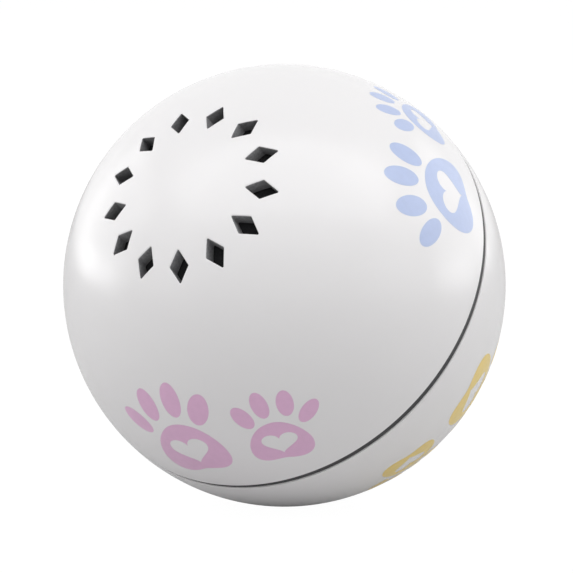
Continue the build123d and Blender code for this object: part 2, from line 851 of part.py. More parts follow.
# Motor unit: case screws, through the cover and plate into the base
with BuildPart() as case_screws:
    screw_seat = case_high - case_screw_cover
    screw_foot = plate_low - case_screw_bite + thread_gap
    with BuildSketch(Plane.XY.offset(screw_foot)):
        with Locations(*columns):
            Circle(case_screw_r)
    extrude(amount=screw_seat - screw_foot)
    with BuildSketch(Plane.XY.offset(screw_seat)):
        with Locations(*columns):
            Circle(case_screw_head_r)
    extrude(amount=case_screw_head)
    with BuildSketch(Plane.XY.offset(screw_seat + case_screw_head)):
        with Locations(*columns):
            Rectangle(case_screw_head_r, case_screw_head_r / 4)
            Rectangle(case_screw_head_r / 4, case_screw_head_r)
    extrude(amount=-case_screw_head * drive_slot_depth_share, mode=Mode.SUBTRACT)
finish(case_screws, "case_screws")

# Motor unit: idler pin, pressed into the cover and turning in the vented half's bush
with BuildPart() as idler_pin:
    with BuildSketch(Plane.XY.offset(roof_in + pin_foot_gap)):
        Circle(spindle_r)
    extrude(amount=pin_top - roof_in - pin_foot_gap)
    chamfer(idler_pin.edges().filter_by(GeomType.CIRCLE).sort_by(Axis.Z)[-1], spindle_flat)
finish(idler_pin, "idler_pin")

# Motor unit: pins that the two compound gears turn on
with BuildPart() as gear_pins:
    with BuildSketch(Plane.XY.offset(plate_low)):
        with Locations((first_x, first_y), (second_x, second_y)):
            Circle(gear_pin_r)
    extrude(amount=roof_in + gear_pin_sink - thread_gap - plate_low)
finish(gear_pins, "gear_pins")

# Gear train: first compound gear
with BuildPart() as first_gear:
    first_plane = Plane((first_x, first_y, wheel_low + end_float))
    with BuildSketch(first_plane):
        draw_gear(first_wheel_teeth, first_wheel_phase)
    extrude(amount=gear_face)
    with BuildSketch(first_plane.offset(gear_face)):
        draw_gear(first_pinion_teeth, 0)
    extrude(amount=gear_stack_top - first_pinion_low - 2 * end_float)
    with BuildSketch(first_plane):
        Circle(gear_pin_r + running_gap)
    extrude(amount=gear_stack_top - wheel_low, mode=Mode.SUBTRACT)
finish(first_gear, "first_gear")

# Gear train: second compound gear, with a hub that reaches down past the first wheel
with BuildPart() as second_gear:
    second_plane = Plane((second_x, second_y, wheel_low + end_float))
    with BuildSketch(second_plane):
        Circle(gear_hub_r)
    extrude(amount=second_wheel_low - wheel_low)
    with BuildSketch(second_plane.offset(second_wheel_low - wheel_low)):
        draw_gear(second_wheel_teeth, second_wheel_phase)
    extrude(amount=gear_face)
    with BuildSketch(second_plane.offset(second_pinion_low - wheel_low)):
        draw_gear(second_pinion_teeth, 0)
    extrude(amount=gear_stack_top - second_pinion_low - 2 * end_float)
    with BuildSketch(second_plane):
        Circle(gear_pin_r + running_gap)
    extrude(amount=gear_stack_top - wheel_low, mode=Mode.SUBTRACT)
finish(second_gear, "second_gear")

motor_plane = Plane((motor_x, motor_y, 0))


def draw_motor_outline(inset):
    """Round motor outline with two flats, inside the sketch that is open."""
    Circle(motor_r - inset)
    Rectangle(2 * (motor_half_thickness - inset), 2 * motor_r, mode=Mode.INTERSECT)


# Motor: steel can with its nose
with BuildPart() as motor_can:
    with BuildSketch(motor_plane.offset(can_low)):
        draw_motor_outline(0)
    extrude(amount=motor_can_length)
    with BuildSketch(motor_plane.offset(can_low)):
        draw_motor_outline(motor_wall)
    extrude(amount=motor_can_length - motor_front_wall, mode=Mode.SUBTRACT)
    with BuildSketch(motor_plane.offset(plate_low)):
        Circle(motor_nose_r)
    extrude(amount=motor_nose)
    with BuildSketch(motor_plane.offset(can_low)):
        Circle(motor_shaft_r + motor_shaft_gap)
        with Locations((0, motor_screw_offset), (0, -motor_screw_offset)):
            Circle(motor_screw_r + thread_gap)
    extrude(amount=motor_can_length + motor_nose, mode=Mode.SUBTRACT)
finish(motor_can, "motor_can")

# Motor: plastic end cap with the rear bearing and two terminals
with BuildPart() as motor_end_cap:
    with BuildSketch(motor_plane.offset(motor_low)):
        draw_motor_outline(0)
    extrude(amount=can_low - motor_low)
    with BuildSketch(motor_plane.offset(can_low)):
        draw_motor_outline(motor_wall + cap_plug_gap)
        draw_motor_outline(2 * motor_wall + cap_plug_gap)
    extrude(amount=cap_plug)
    with BuildSketch(motor_plane.offset(can_low)):
        draw_motor_outline(2 * motor_wall + cap_plug_gap)
    extrude(amount=cap_plug, mode=Mode.SUBTRACT)
    with BuildSketch(motor_plane.offset(motor_low + motor_shaft_foot / 2)):
        Circle(motor_shaft_r + motor_shaft_gap)
    extrude(amount=motor_cap + cap_plug, mode=Mode.SUBTRACT)
finish(motor_end_cap, "motor_end_cap")

# Motor: terminals, moulded into the end cap
terminal_z = (motor_low + can_low) / 2
with BuildPart() as motor_terminals:
    with BuildSketch(Plane.XZ.offset(-terminal_y)):
        for side in (1, -1):
            with Locations((motor_x + side * terminal_half_spread, terminal_z)):
                Rectangle(terminal_width, terminal_thickness)
    extrude(amount=-terminal_length)
    add(motor_end_cap.part, mode=Mode.SUBTRACT)
finish(motor_terminals, "motor_terminals")

# Motor: magnets, an arc at each rounded side of the can
magnet_low = plate_low - magnet_start - magnet_length
with BuildPart() as motor_magnets:
    with BuildSketch(motor_plane.offset(magnet_low)):
        Circle(magnet_r)
        Circle(magnet_r - magnet_wall, mode=Mode.SUBTRACT)
        Rectangle(2 * magnet_r * sin(radians(magnet_half_angle)), 2 * magnet_r, mode=Mode.INTERSECT)
    extrude(amount=magnet_length)
finish(motor_magnets, "motor_magnets")

# Rotor: shaft
with BuildPart() as motor_shaft:
    shaft_low = motor_low + motor_shaft_foot
    pinion_low = case_split + pinion_seat
    pinion_high = wheel_low + gear_face + pinion_overlap
    with BuildSketch(motor_plane.offset(shaft_low)):
        Circle(motor_shaft_r)
    extrude(amount=pinion_high + spindle_end_proud - shaft_low)
finish(motor_shaft, "motor_shaft")

# Rotor: pinion
with BuildPart() as motor_pinion:
    with BuildSketch(motor_plane.offset(pinion_low)):
        draw_gear(pinion_teeth, 0)
        Circle(motor_shaft_r + push_fit, mode=Mode.SUBTRACT)
    extrude(amount=pinion_high - pinion_low)
finish(motor_pinion, "motor_pinion")

# Rotor: three-pole iron core
core_low = magnet_low + magnet_overlap
with BuildPart() as rotor_core:
    with BuildSketch(motor_plane.offset(core_low)):
        Circle(core_r)
        Circle(core_shoe_r, mode=Mode.SUBTRACT)
        with PolarLocations((core_shoe_r + core_r) / 2, core_poles, start_angle=180 / core_poles):
            Rectangle(2 * core_shoe, core_slot_width, mode=Mode.SUBTRACT)
        Circle(core_hub_r)
        with PolarLocations(core_shoe_r / 2, core_poles):
            Rectangle(core_shoe_r + core_shoe / 2, core_arm_width)
        Circle(motor_shaft_r + push_fit, mode=Mode.SUBTRACT)
    extrude(amount=core_length)
finish(rotor_core, "rotor_core")

# Rotor: windings round the three arms
with BuildPart() as rotor_windings:
    winding_low = core_low - winding_overhang
    winding_mid = (core_hub_r + core_shoe_r) / 2
    winding_depth = core_shoe_r - core_hub_r - 2 * winding_gap
    with BuildSketch(motor_plane.offset(winding_low)):
        with PolarLocations(winding_mid, core_poles):
            Rectangle(winding_depth, winding_width)
        Circle(core_shoe_r - winding_gap, mode=Mode.INTERSECT)
        with PolarLocations(winding_mid, core_poles, start_angle=180 / core_poles):
            Rectangle(2 * core_shoe_r, winding_gap, mode=Mode.SUBTRACT)
    extrude(amount=core_length + 2 * winding_overhang)
    with BuildSketch(motor_plane.offset(core_low - winding_gap)):
        with PolarLocations(winding_mid, core_poles):
            Rectangle(2 * winding_depth, core_arm_width + winding_gap)
        Circle(core_hub_r + winding_gap)
    extrude(amount=core_length + 2 * winding_gap, mode=Mode.SUBTRACT)
finish(rotor_windings, "rotor_windings")

# Rotor: commutator
commutator_low = core_low - winding_overhang - commutator_drop - commutator_length
with BuildPart() as commutator:
    with BuildSketch(motor_plane.offset(commutator_low)):
        Circle(commutator_r)
        Circle(motor_shaft_r + push_fit, mode=Mode.SUBTRACT)
    extrude(amount=commutator_length)
finish(commutator, "commutator")

# Motor: brushes, a strip each side of the commutator, standing on the end cap
with BuildPart() as motor_brushes:
    brush_x = commutator_r + running_gap + brush_thickness / 2
    with BuildSketch(motor_plane.offset(can_low)):
        with Locations((brush_x, 0), (-brush_x, 0)):
            Rectangle(brush_thickness, brush_width)
    extrude(amount=commutator_low + brush_height - can_low)
finish(motor_brushes, "motor_brushes")

# Motor unit: motor screws
with BuildPart() as motor_screws:
    screw_points = [(0, motor_screw_offset), (0, -motor_screw_offset)]
    with BuildSketch(motor_plane.offset(plate_low - motor_screw_bite)):
        with Locations(*screw_points):
            Circle(motor_screw_r)
    extrude(amount=motor_screw_bite + plate)
    with BuildSketch(motor_plane.offset(case_split)):
        with Locations(*screw_points):
            Circle(motor_screw_head_r)
    extrude(amount=motor_screw_head)
finish(motor_screws, "motor_screws")

# Motor unit: rechargeable pouch cell with its folded top seam
with BuildPart() as battery_cell:
    with BuildSketch(Plane.XY.offset(cell_low)):
        with Locations((cell_x, cell_y)):
            RectangleRounded(cell_thickness, cell_width, cell_round)
    extrude(amount=cell_height - cell_fold)
    with BuildSketch(Plane.XY.offset(cell_high - cell_fold)):
        with Locations((cell_x, cell_y)):
            Rectangle(cell_thickness / 2, cell_width - 2 * cell_round)
    extrude(amount=cell_fold)
finish(battery_cell, "battery_cell")

# Motor unit: ballast weight, rounded to the case
with BuildPart() as ballast_weight:
    Sphere(inner_r - ballast_side_gap)
    with Locations((0, ballast_back, ballast_low + ballast_height / 2)):
        Box(
            2 * ballast_half_width,
            ball_r,
            ballast_height,
            align=(Align.CENTER, Align.MAX, Align.CENTER),
            mode=Mode.INTERSECT,
        )
    fillet(ballast_weight.edges().filter_by(Axis.Z), ballast_round)
finish(ballast_weight, "ballast_weight")

# Circuit board
board_screw_points = [(board_screw_x, board_screw_z), (-board_screw_x, board_screw_z)]
with BuildPart() as circuit_board:
    with BuildSketch(Plane.XZ.offset(-board_back)):
        with Locations((0, (board_low + board_high) / 2)):
            RectangleRounded(2 * board_half_width, board_high - board_low, board_screw_r)
        with Locations(*board_screw_points):
            Circle(board_screw_r + screw_clearance, mode=Mode.SUBTRACT)
    extrude(amount=board_thickness)
finish(circuit_board, "circuit_board")

# Board screws
with BuildPart() as board_screws:
    with BuildSketch(Plane.XZ.offset(-board_face)):
        with Locations(*board_screw_points):
            Circle(board_screw_r)
    extrude(amount=-board_thickness - board_screw_bite + thread_gap)
    with BuildSketch(Plane.XZ.offset(-board_face)):
        with Locations(*board_screw_points):
            Circle(board_screw_head_r)
    extrude(amount=board_screw_head)
finish(board_screws, "board_screws")

# Charging socket: shell and tongue, mouth upwards
with BuildPart() as usb_socket:
    with BuildSketch(Plane.XY.offset(socket_high - socket_length)):
        with Locations((socket_x, socket_y)):
            SlotOverall(socket_width, socket_height)
    extrude(amount=socket_length)
    with BuildSketch(Plane.XY.offset(socket_high)):
        with Locations((socket_x, socket_y)):
            SlotOverall(socket_width - 2 * socket_wall, socket_height - 2 * socket_wall)
            Rectangle(socket_tongue_width, socket_tongue, mode=Mode.SUBTRACT)
    extrude(amount=-socket_throat, mode=Mode.SUBTRACT)
finish(usb_socket, "usb_socket")

# Tactile switch, with its plunger upwards
with BuildPart() as tact_switch:
    with BuildSketch(Plane.XY.offset(switch_high)):
        with Locations((switch_x, switch_y)):
            Rectangle(switch_width, switch_depth)
    extrude(amount=-switch_height)
    with BuildSketch(Plane.XY.offset(switch_high)):
        with Locations((switch_x, switch_y)):
            Circle(plunger_r)
    extrude(amount=plunger)
finish(tact_switch, "tact_switch")

# Power button, a flanged cap in the cover
with BuildPart() as power_button:
    with BuildSketch(Plane.XY.offset(roof_in - button_float)):
        with Locations((switch_x, switch_y)):
            Circle(button_flange_r)
    extrude(amount=-button_flange)
    with BuildSketch(Plane.XY.offset(roof_in - button_float)):
        with Locations((switch_x, switch_y)):
            Circle(button_r)
    extrude(amount=case_wall + button_float + button_proud)
    fillet(power_button.edges().filter_by(GeomType.CIRCLE).sort_by(Axis.Z)[-1], button_round)
finish(power_button, "power_button")

# Status lamp: domed body with two leads to the board
with BuildPart() as status_lamp:
    lamp_low = roof_in - lamp_drop
    dome_base = case_high + lamp_proud - lamp_r
    with BuildSketch(Plane.XY.offset(lamp_low)):
        with Locations((lamp_x, lamp_y)):
            Circle(lamp_r)
    extrude(amount=dome_base - lamp_low)
    with Locations((lamp_x, lamp_y, dome_base)):
        Sphere(lamp_r)
    with BuildSketch(Plane.XZ.offset(-lamp_y)):
        for side in (1, -1):
            with Locations((lamp_x + side * lamp_lead_half_spread, lamp_low + lamp_lead)):
                Rectangle(lamp_lead, lamp_lead)
    extrude(amount=lamp_y - board_face)
finish(status_lamp, "status_lamp")


def chip(across, up, width, height, thickness):
    """Flat package on the front of the board."""
    with BuildPart() as package:
        with BuildSketch(Plane.XZ.offset(-board_face)):
            with Locations((across, board_low + up)):
                Rectangle(width, height)
        extrude(amount=thickness)
        chamfer(package.faces().sort_by(Axis.Y)[0].edges(), thickness / 6)
    return package


finish(chip(*controller_size), "controller_chip")
finish(chip(*sensor_size), "motion_sensor")
finish(chip(*charger_size), "charger_chip")

# Wire headers: one for the motor and one for the cell
header_width, header_height, header_depth = header_size
with BuildPart() as wire_headers:
    for side in (1, -1):
        with BuildSketch(Plane.XZ.offset(-board_face)):
            with Locations((side * header_across, header_up)):
                Rectangle(header_width, header_height)
        extrude(amount=header_depth)
finish(wire_headers, "wire_headers")


def lead(points):
    """Insulated wire along a route of straight runs and arcs, with arcs that its ends have room for."""
    arc_r = min(lead_arc_r, (points[-1][1] - points[0][1]) * lead_arc_share)
    with BuildPart() as wire:
        with BuildLine() as route:
            FilletPolyline(*points, radius=arc_r)
        with BuildSketch(Plane(route.line @ 0, z_dir=route.line % 0)):
            Circle(lead_r)
        sweep(path=route.line)
    return wire


# Leads from the motor's terminals and from the cell to the headers
header_front = board_face - header_depth - lead_solder_gap
motor_lead_start = terminal_y + terminal_length + lead_solder_gap
cell_lead_start = cell_y + cell_width / 2 + lead_solder_gap
lead_turn_y = (motor_lead_start + header_front) / 2
for colour, side in (("red", 1), ("black", -1)):
    pin_x = header_across + side * header_pin_half_spread
    tab_x = motor_x + side * terminal_half_spread
    motor_route = [
        (tab_x, motor_lead_start, terminal_z),
        (tab_x, lead_turn_y, terminal_z),
        (pin_x, lead_turn_y, header_up),
        (pin_x, header_front, header_up),
    ]
    finish(lead(motor_route), f"motor_lead_{colour}")
    cell_pin_x = -header_across + side * header_pin_half_spread
    cell_route = [
        (cell_pin_x, cell_lead_start, cell_low + cell_lead_rise),
        (cell_pin_x, lead_turn_y, cell_low + cell_lead_rise),
        (cell_pin_x, lead_turn_y, header_up),
        (cell_pin_x, header_front, header_up),
    ]
    finish(lead(cell_route), f"cell_lead_{colour}")
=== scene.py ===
"""Looks of the self-rolling cat ball: its two glossy shells with their paw prints, the felt behind
the vents, the finish of every inner piece, and the studio round it.

Lengths are in metres. Shapes are worked out in the axle's frame, whose Z runs up the rolling axle
to the vented pole, whose X is level, and whose origin is the ball's centre.
"""

import json
from math import atan2, cos, pi, radians, sin, sqrt, tau

import bmesh
import bpy
import numpy as np
from mathutils import Matrix, Vector, noise


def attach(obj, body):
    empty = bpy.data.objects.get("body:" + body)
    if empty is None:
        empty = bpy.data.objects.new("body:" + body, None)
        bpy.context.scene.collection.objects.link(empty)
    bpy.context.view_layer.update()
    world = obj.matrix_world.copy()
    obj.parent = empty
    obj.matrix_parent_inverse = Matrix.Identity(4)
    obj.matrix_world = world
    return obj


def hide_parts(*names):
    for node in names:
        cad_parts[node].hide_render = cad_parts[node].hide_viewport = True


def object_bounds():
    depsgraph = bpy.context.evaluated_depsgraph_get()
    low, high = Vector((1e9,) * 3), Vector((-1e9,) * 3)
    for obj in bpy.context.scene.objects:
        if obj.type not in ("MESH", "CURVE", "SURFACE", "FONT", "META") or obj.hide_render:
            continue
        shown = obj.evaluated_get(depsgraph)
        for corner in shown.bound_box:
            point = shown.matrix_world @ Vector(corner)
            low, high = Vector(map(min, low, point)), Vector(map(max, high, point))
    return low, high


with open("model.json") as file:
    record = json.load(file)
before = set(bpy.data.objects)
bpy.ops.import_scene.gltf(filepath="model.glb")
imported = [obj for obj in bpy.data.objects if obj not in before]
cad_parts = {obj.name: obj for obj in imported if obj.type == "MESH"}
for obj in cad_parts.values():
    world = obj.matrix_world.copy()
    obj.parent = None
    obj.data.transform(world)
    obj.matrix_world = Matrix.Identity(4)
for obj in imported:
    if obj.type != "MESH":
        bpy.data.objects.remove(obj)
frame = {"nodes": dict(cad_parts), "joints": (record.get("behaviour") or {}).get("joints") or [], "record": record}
cad_low, cad_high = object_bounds()

MM = 0.001
ORIGIN = Vector((0, 0, 0))
TINY = 1e-9

# The axle's frame, from the joint that the motor unit swings on
swing = next(joint for joint in frame["joints"] if joint["name"] == "unit_swing")
POLE = Vector(swing["axis"]).normalized()
SIDE = Vector((1, 0, 0))
LIFT = POLE.cross(SIDE)
TO_ROW = Matrix((SIDE, LIFT, POLE)).transposed()
TIP_ANGLE = atan2(-POLE.y, POLE.z)

# The ball. The shells stay a hair inside the CAD ball, and the prints fill up the difference.
CAD_R = min(cad_high - cad_low) / 2
PRINT_PROUD = 0.02 * MM
BALL_R = CAD_R - PRINT_PROUD
WALL = 2.1 * MM
INSIDE_R = BALL_R - WALL
SEAM_HEIGHT = 0.93 * MM
SEAM_GAP = 1.05 * MM
RIM_ROUND = 0.16 * MM
RIM_REACH = SEAM_GAP / 2 + RIM_ROUND
EDGE_ROUND = 0.12 * MM
SURFACE_SLACK = 0.008 * MM

# The bore of the vented shell and the collar of the base shell that it goes over
BORE_R = BALL_R - 1.86 * MM
BORE_DEPTH = 3.9 * MM
COLLAR_CLEARANCE = 0.25 * MM
COLLAR_WALL = 1.5 * MM
COLLAR_LIFT = 3.9 * MM
COLLAR_LEAD = 0.3 * MM
COLLAR_SKIRT = 2.0 * MM
COLLAR_FLARE = 2.5 * MM

# Rubber ring that fills the seam to just below the ball's surface
RING_SEAT_GAP = 0.04 * MM
RING_SINK = 0.2 * MM
RING_END_GAP = 0.1 * MM
RING_ROUND = 0.12 * MM

# Hubs inside the two poles
POLE_HUB_R = 4.6 * MM
POLE_HUB_DROP = 8.7 * MM
POLE_BORE_R = 3.0 * MM
POLE_BORE_ROOF = 1.0 * MM
PAD_THICKNESS = 4.6 * MM
HUB_SCREW_COUNT = 3
HUB_SCREW_RING_R = 6.6 * MM
HUB_SCREW_HOLE_R = 0.85 * MM
HUB_SCREW_HOLE_DEPTH = 2.4 * MM
HUB_SCREW_HOLE_RISE = 1.0 * MM

# Turn of the motor unit at rest, which the hub's screws share
HANG_TURN = radians(-7.0)

# Scent vents
VENT_COUNT = 13
VENT_RING_R = 11.9 * MM
VENT_HALF_LENGTH = 2.28 * MM
VENT_HALF_WIDTH = 1.46 * MM
VENT_START = radians(5.3)
VENT_CORNER_R = 0.14 * MM
VENT_EDGE_R = 0.22 * MM
VENT_CUT_RISE = 1.5 * MM
VENT_CUT_END = 24 * MM

# How deep the white paint reaches, on the ball's surface and at the two rims. Deeper faces get painted shade, a
# dark grey.
PAINT_REACH = 0.1 * MM
RIM_PAINT_DEPTH = 1.2 * MM

# Felt behind the vents. Its edges and their bulge are angles, counted from the pole.
FELT_GAP = 0.25 * MM
FELT_THICKNESS = 1.4 * MM
FELT_INNER = radians(10.8)
FELT_OUTER = radians(30.6)
FELT_END_BULGE = 0.006
FELT_FUZZ = 0.07 * MM
FELT_COARSE = 1.1 * MM
FELT_FINE = 0.35 * MM

# How finely round forms are cut
TURN_STEPS = 288
SPHERE_STEPS = 72
ROUND_STEPS = 5
VENT_SIDE_STEPS = 8
HOLE_STEPS = 32
FELT_TURN_STEPS = 260
FELT_ARC_STEPS = 40


# Mesh helpers


def to_row(point):
    """A point of the axle's frame in the row's frame."""
    return TO_ROW @ Vector(point)


def shell_object(name, verts, faces):
    """A closed mesh object with its faces turned outwards, given in the axle's frame."""
    mesh = bpy.data.meshes.new(name)
    mesh.from_pydata([to_row(v) for v in verts], [], faces)
    made = bmesh.new()
    made.from_mesh(mesh)
    bmesh.ops.recalc_face_normals(made, faces=made.faces)
    made.to_mesh(mesh)
    made.free()
    obj = bpy.data.objects.new(name, mesh)
    bpy.context.scene.collection.objects.link(obj)
    return obj


def wall_between(low, high):
    """Faces from one closed ring of corners to the next."""
    count = len(low)
    pairs = [(k, (k + 1) % count) for k in range(count)]
    return [[low[k], low[n], high[n], high[k]] for k, n in pairs]


def arc(centre, radius, start, end, steps):
    """Points of an arc in a profile, with angles counted from the outward direction."""
    angles = [start + (end - start) * k / steps for k in range(steps + 1)]
    return [(centre[0] + radius * cos(a), centre[1] + radius * sin(a)) for a in angles]


def rounded(path, radius=EDGE_ROUND):
    """A stretch of a profile with its inner corners rounded off."""
    points = [path[0]]
    for before, here, after in zip(path, path[1:], path[2:]):
        here_v, back, on = Vector(here), Vector(before), Vector(after)
        reach = min(radius, (back - here_v).length / 2, (on - here_v).length / 2)
        start = here_v + (back - here_v).normalized() * reach
        end = here_v + (on - here_v).normalized() * reach
        for k in range(ROUND_STEPS + 1):
            t = k / ROUND_STEPS
            points.append(tuple(start * (1 - t) ** 2 + here_v * 2 * t * (1 - t) + end * t**2))
    return points + [path[-1]]


def lathe(name, profile, turn_steps=TURN_STEPS):
    """A body of revolution about the axle. The profile is a list of (radius, height): it runs from
    the axle back to the axle, or else round a closed ring."""
    verts, rings = [], []
    for r, z in profile:
        if r < TINY:
            rings.append([len(verts)] * turn_steps)
            verts.append((0, 0, z))
        else:
            rings.append(list(range(len(verts), len(verts) + turn_steps)))
            turns = [tau * k / turn_steps for k in range(turn_steps)]
            verts += [(r * cos(a), r * sin(a), z) for a in turns]
    if profile[0][0] > TINY:
        rings.append(rings[0])
    faces = []
    for low, high in zip(rings, rings[1:]):
        for corners in wall_between(low, high):
            kept = [c for i, c in enumerate(corners) if c not in corners[:i]]
            if len(kept) > 2:
                faces.append(kept)
    return shell_object(name, verts, faces)


def cut(obj, cutter):
    """Take the cutter's shape out of the object."""
    modifier = obj.modifiers.new("cut", "BOOLEAN")
    modifier.operation, modifier.solver, modifier.object = "DIFFERENCE", "EXACT", cutter
    bpy.context.view_layer.update()
    evaluated = obj.evaluated_get(bpy.context.evaluated_depsgraph_get())
    mesh = bpy.data.meshes.new_from_object(evaluated)
    obj.modifiers.clear()
    old, obj.data = obj.data, mesh
    mesh.name = obj.name
    bpy.data.meshes.remove(old)
    bpy.data.objects.remove(cutter)


def smooth(obj, sharp_angle=radians(32), ball_r=None):
    """Smooth shading with sharp edges kept. Beyond ball_r the normals are the ball's own."""
    mesh = obj.data
    mesh.shade_smooth()
    mesh.set_sharp_from_angle(angle=sharp_angle)
    if ball_r is None:
        return
    normals = np.zeros(len(mesh.loops) * 3, np.float32)
    mesh.corner_normals.foreach_get("vector", normals)
    normals = normals.reshape(-1, 3)
    places = np.zeros(len(mesh.vertices) * 3, np.float32)
    mesh.vertices.foreach_get("co", places)
    places = places.reshape(-1, 3)
    corners = np.zeros(len(mesh.loops), np.int32)
    mesh.loops.foreach_get("vertex_index", corners)
    radii = np.linalg.norm(places, axis=1)
    on_ball = (radii > ball_r)[corners]
    normals[on_ball] = (places / radii[:, None])[corners][on_ball]
    mesh.normals_split_custom_set(normals.tolist())


# Shells


def rim_fillet(height, upward):
    """Rounded corner between the ball's surface and a level rim."""
    lift = RIM_ROUND if upward else -RIM_ROUND
    centre_z = height + lift
    centre_r = sqrt((BALL_R - RIM_ROUND) ** 2 - centre_z**2)
    start = atan2(centre_z, centre_r)
    end = -pi / 2 if upward else pi / 2
    return start, arc((centre_r, centre_z), RIM_ROUND, start, end, ROUND_STEPS)


def sphere_height(radius, distance):
    """Height at which a ball of this radius is this far from its axis."""
    return sqrt(radius**2 - distance**2)


def vented_profile():
    """Half section of the vented shell: ball, rim, bore for the collar, inside and pole hub."""
    rim = SEAM_HEIGHT + SEAM_GAP / 2
    bore_top = rim + BORE_DEPTH
    start, fillet = rim_fillet(rim, upward=True)
    outer = arc((0, 0), BALL_R, pi / 2, start, SPHERE_STEPS)
    step_r = sphere_height(INSIDE_R, bore_top)
    inside_start = atan2(bore_top, step_r)
    hub_top = sphere_height(INSIDE_R, POLE_HUB_R)
    inside_end = atan2(hub_top, POLE_HUB_R)
    inside = arc((0, 0), INSIDE_R, inside_start, inside_end, SPHERE_STEPS)
    hub_low = INSIDE_R - POLE_HUB_DROP
    step = rounded([fillet[-1], (BORE_R, rim), (BORE_R, bore_top), inside[0]])
    hub = rounded(
        [
            inside[-1],
            (POLE_HUB_R, hub_low),
            (POLE_BORE_R, hub_low),
            (POLE_BORE_R, INSIDE_R - POLE_BORE_ROOF),
            (0, INSIDE_R - POLE_BORE_ROOF),
        ]
    )
    return outer[:-1] + fillet + step[1:-1] + inside + hub[1:]


def base_profile():
    """Half section of the base shell: ball, rim, collar, inside and the pad of the drive hub."""
    rim = SEAM_HEIGHT - SEAM_GAP / 2
    start, fillet = rim_fillet(rim, upward=False)
    collar_r = BORE_R - COLLAR_CLEARANCE
    collar_top = rim + COLLAR_LIFT
    collar_low = rim - COLLAR_SKIRT
    flare_low = collar_low - COLLAR_FLARE
    flare_r = sphere_height(INSIDE_R, flare_low)
    pad_top = -BALL_R + PAD_THICKNESS
    pad_r = sphere_height(INSIDE_R, pad_top)
    outer = arc((0, 0), BALL_R, -pi / 2, start, SPHERE_STEPS)
    inside = arc((0, 0), INSIDE_R, atan2(flare_low, flare_r), atan2(pad_top, pad_r), SPHERE_STEPS)
    collar = rounded(
        [
            fillet[-1],
            (collar_r, rim),
            (collar_r, collar_top - COLLAR_LEAD),
            (collar_r - COLLAR_LEAD, collar_top),
            (collar_r - COLLAR_WALL, collar_top),
            (collar_r - COLLAR_WALL, collar_low),
            inside[0],
        ]
    )
    return outer[:-1] + fillet + collar[1:-1] + inside + [(0, pad_top)]


def vent_outline(grown):
    """Outline of a vent, grown outwards by a distance, as points round its middle."""
    corners = [
        (VENT_HALF_LENGTH, 0),
        (0, VENT_HALF_WIDTH),
        (-VENT_HALF_LENGTH, 0),
        (0, -VENT_HALF_WIDTH),
    ]
    length = sqrt(VENT_HALF_LENGTH**2 + VENT_HALF_WIDTH**2)
    shrink = 1 - VENT_CORNER_R * length / (VENT_HALF_LENGTH * VENT_HALF_WIDTH)
    slope = atan2(VENT_HALF_LENGTH, VENT_HALF_WIDTH)
    normals = [slope, pi - slope, pi + slope, tau - slope]
    starts = [-slope, slope, pi - slope, pi + slope]
    reach = VENT_CORNER_R + grown
    points = []
    for k, (x, y) in enumerate(corners):
        start, end = starts[k], normals[k]
        turn = (end - start) % tau
        for step in range(ROUND_STEPS + 1):
            a = start + turn * step / ROUND_STEPS
            points.append((x * shrink + reach * cos(a), y * shrink + reach * sin(a)))
        nx, ny = corners[(k + 1) % 4]
        last_x, last_y = points[-1]
        next_x, next_y = nx * shrink + reach * cos(end), ny * shrink + reach * sin(end)
        for step in range(1, VENT_SIDE_STEPS):
            t = step / VENT_SIDE_STEPS
            points.append((last_x + (next_x - last_x) * t, last_y + (next_y - last_y) * t))
    return points


def vent_cutter():
    """Every vent as one cutter. Each flares at the ball's surface, so that its edge is rounded.

    A layer is how far the outline is grown, its depth under the surface, and, where it has no
    depth because it is level, its lift over the pole."""
    layers = [(VENT_EDGE_R, None, VENT_CUT_RISE)]
    for k in range(ROUND_STEPS + 1):
        a = pi / 2 * k / ROUND_STEPS
        layers.append((VENT_EDGE_R * (1 - sin(a)), VENT_EDGE_R * (1 - cos(a)), 0))
    layers.append((0, None, VENT_CUT_END - BALL_R))
    verts, faces = [], []
    for vent in range(VENT_COUNT):
        turn = VENT_START + tau * vent / VENT_COUNT
        rings = []
        for grown, depth, lift in layers:
            rings.append([])
            for x, y in vent_outline(grown):
                far = x + VENT_RING_R
                place = (far * cos(turn) - y * sin(turn), far * sin(turn) + y * cos(turn))
                if depth is None:
                    height = BALL_R + lift
                else:
                    height = sqrt((BALL_R - depth) ** 2 - place[0] ** 2 - place[1] ** 2)
                rings[-1].append(len(verts))
                verts.append((*place, height))
        for low, high in zip(rings, rings[1:]):
            faces += wall_between(low, high)
        faces += [rings[0], rings[-1]]
    return shell_object("vent_cutter", verts, faces)


def hub_screw_cutter():
    """The pilot holes of the hub screws."""
    pad_top = -BALL_R + PAD_THICKNESS
    verts, faces = [], []
    for hole in range(HUB_SCREW_COUNT):
        a = HANG_TURN + tau * hole / HUB_SCREW_COUNT
        middle = (HUB_SCREW_RING_R * cos(a), HUB_SCREW_RING_R * sin(a))
        circle = arc(middle, HUB_SCREW_HOLE_R, 0, tau, HOLE_STEPS)[:-1]
        rings = []
        for height in (pad_top + HUB_SCREW_HOLE_RISE, pad_top - HUB_SCREW_HOLE_DEPTH):
            rings.append(list(range(len(verts), len(verts) + HOLE_STEPS)))
            verts += [(x, y, height) for x, y in circle]
        faces += wall_between(*rings) + rings
    return shell_object("hub_screw_cutter", verts, faces)


vented = lathe("vented_shell_skin", vented_profile())
cut(vented, vent_cutter())
smooth(vented, ball_r=BALL_R - SURFACE_SLACK)
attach(vented, "vented_half")
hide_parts("vented_shell")

base = lathe("base_shell_skin", base_profile())
cut(base, hub_screw_cutter())
smooth(base, ball_r=BALL_R - SURFACE_SLACK)
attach(base, "base_half")
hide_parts("base_shell")


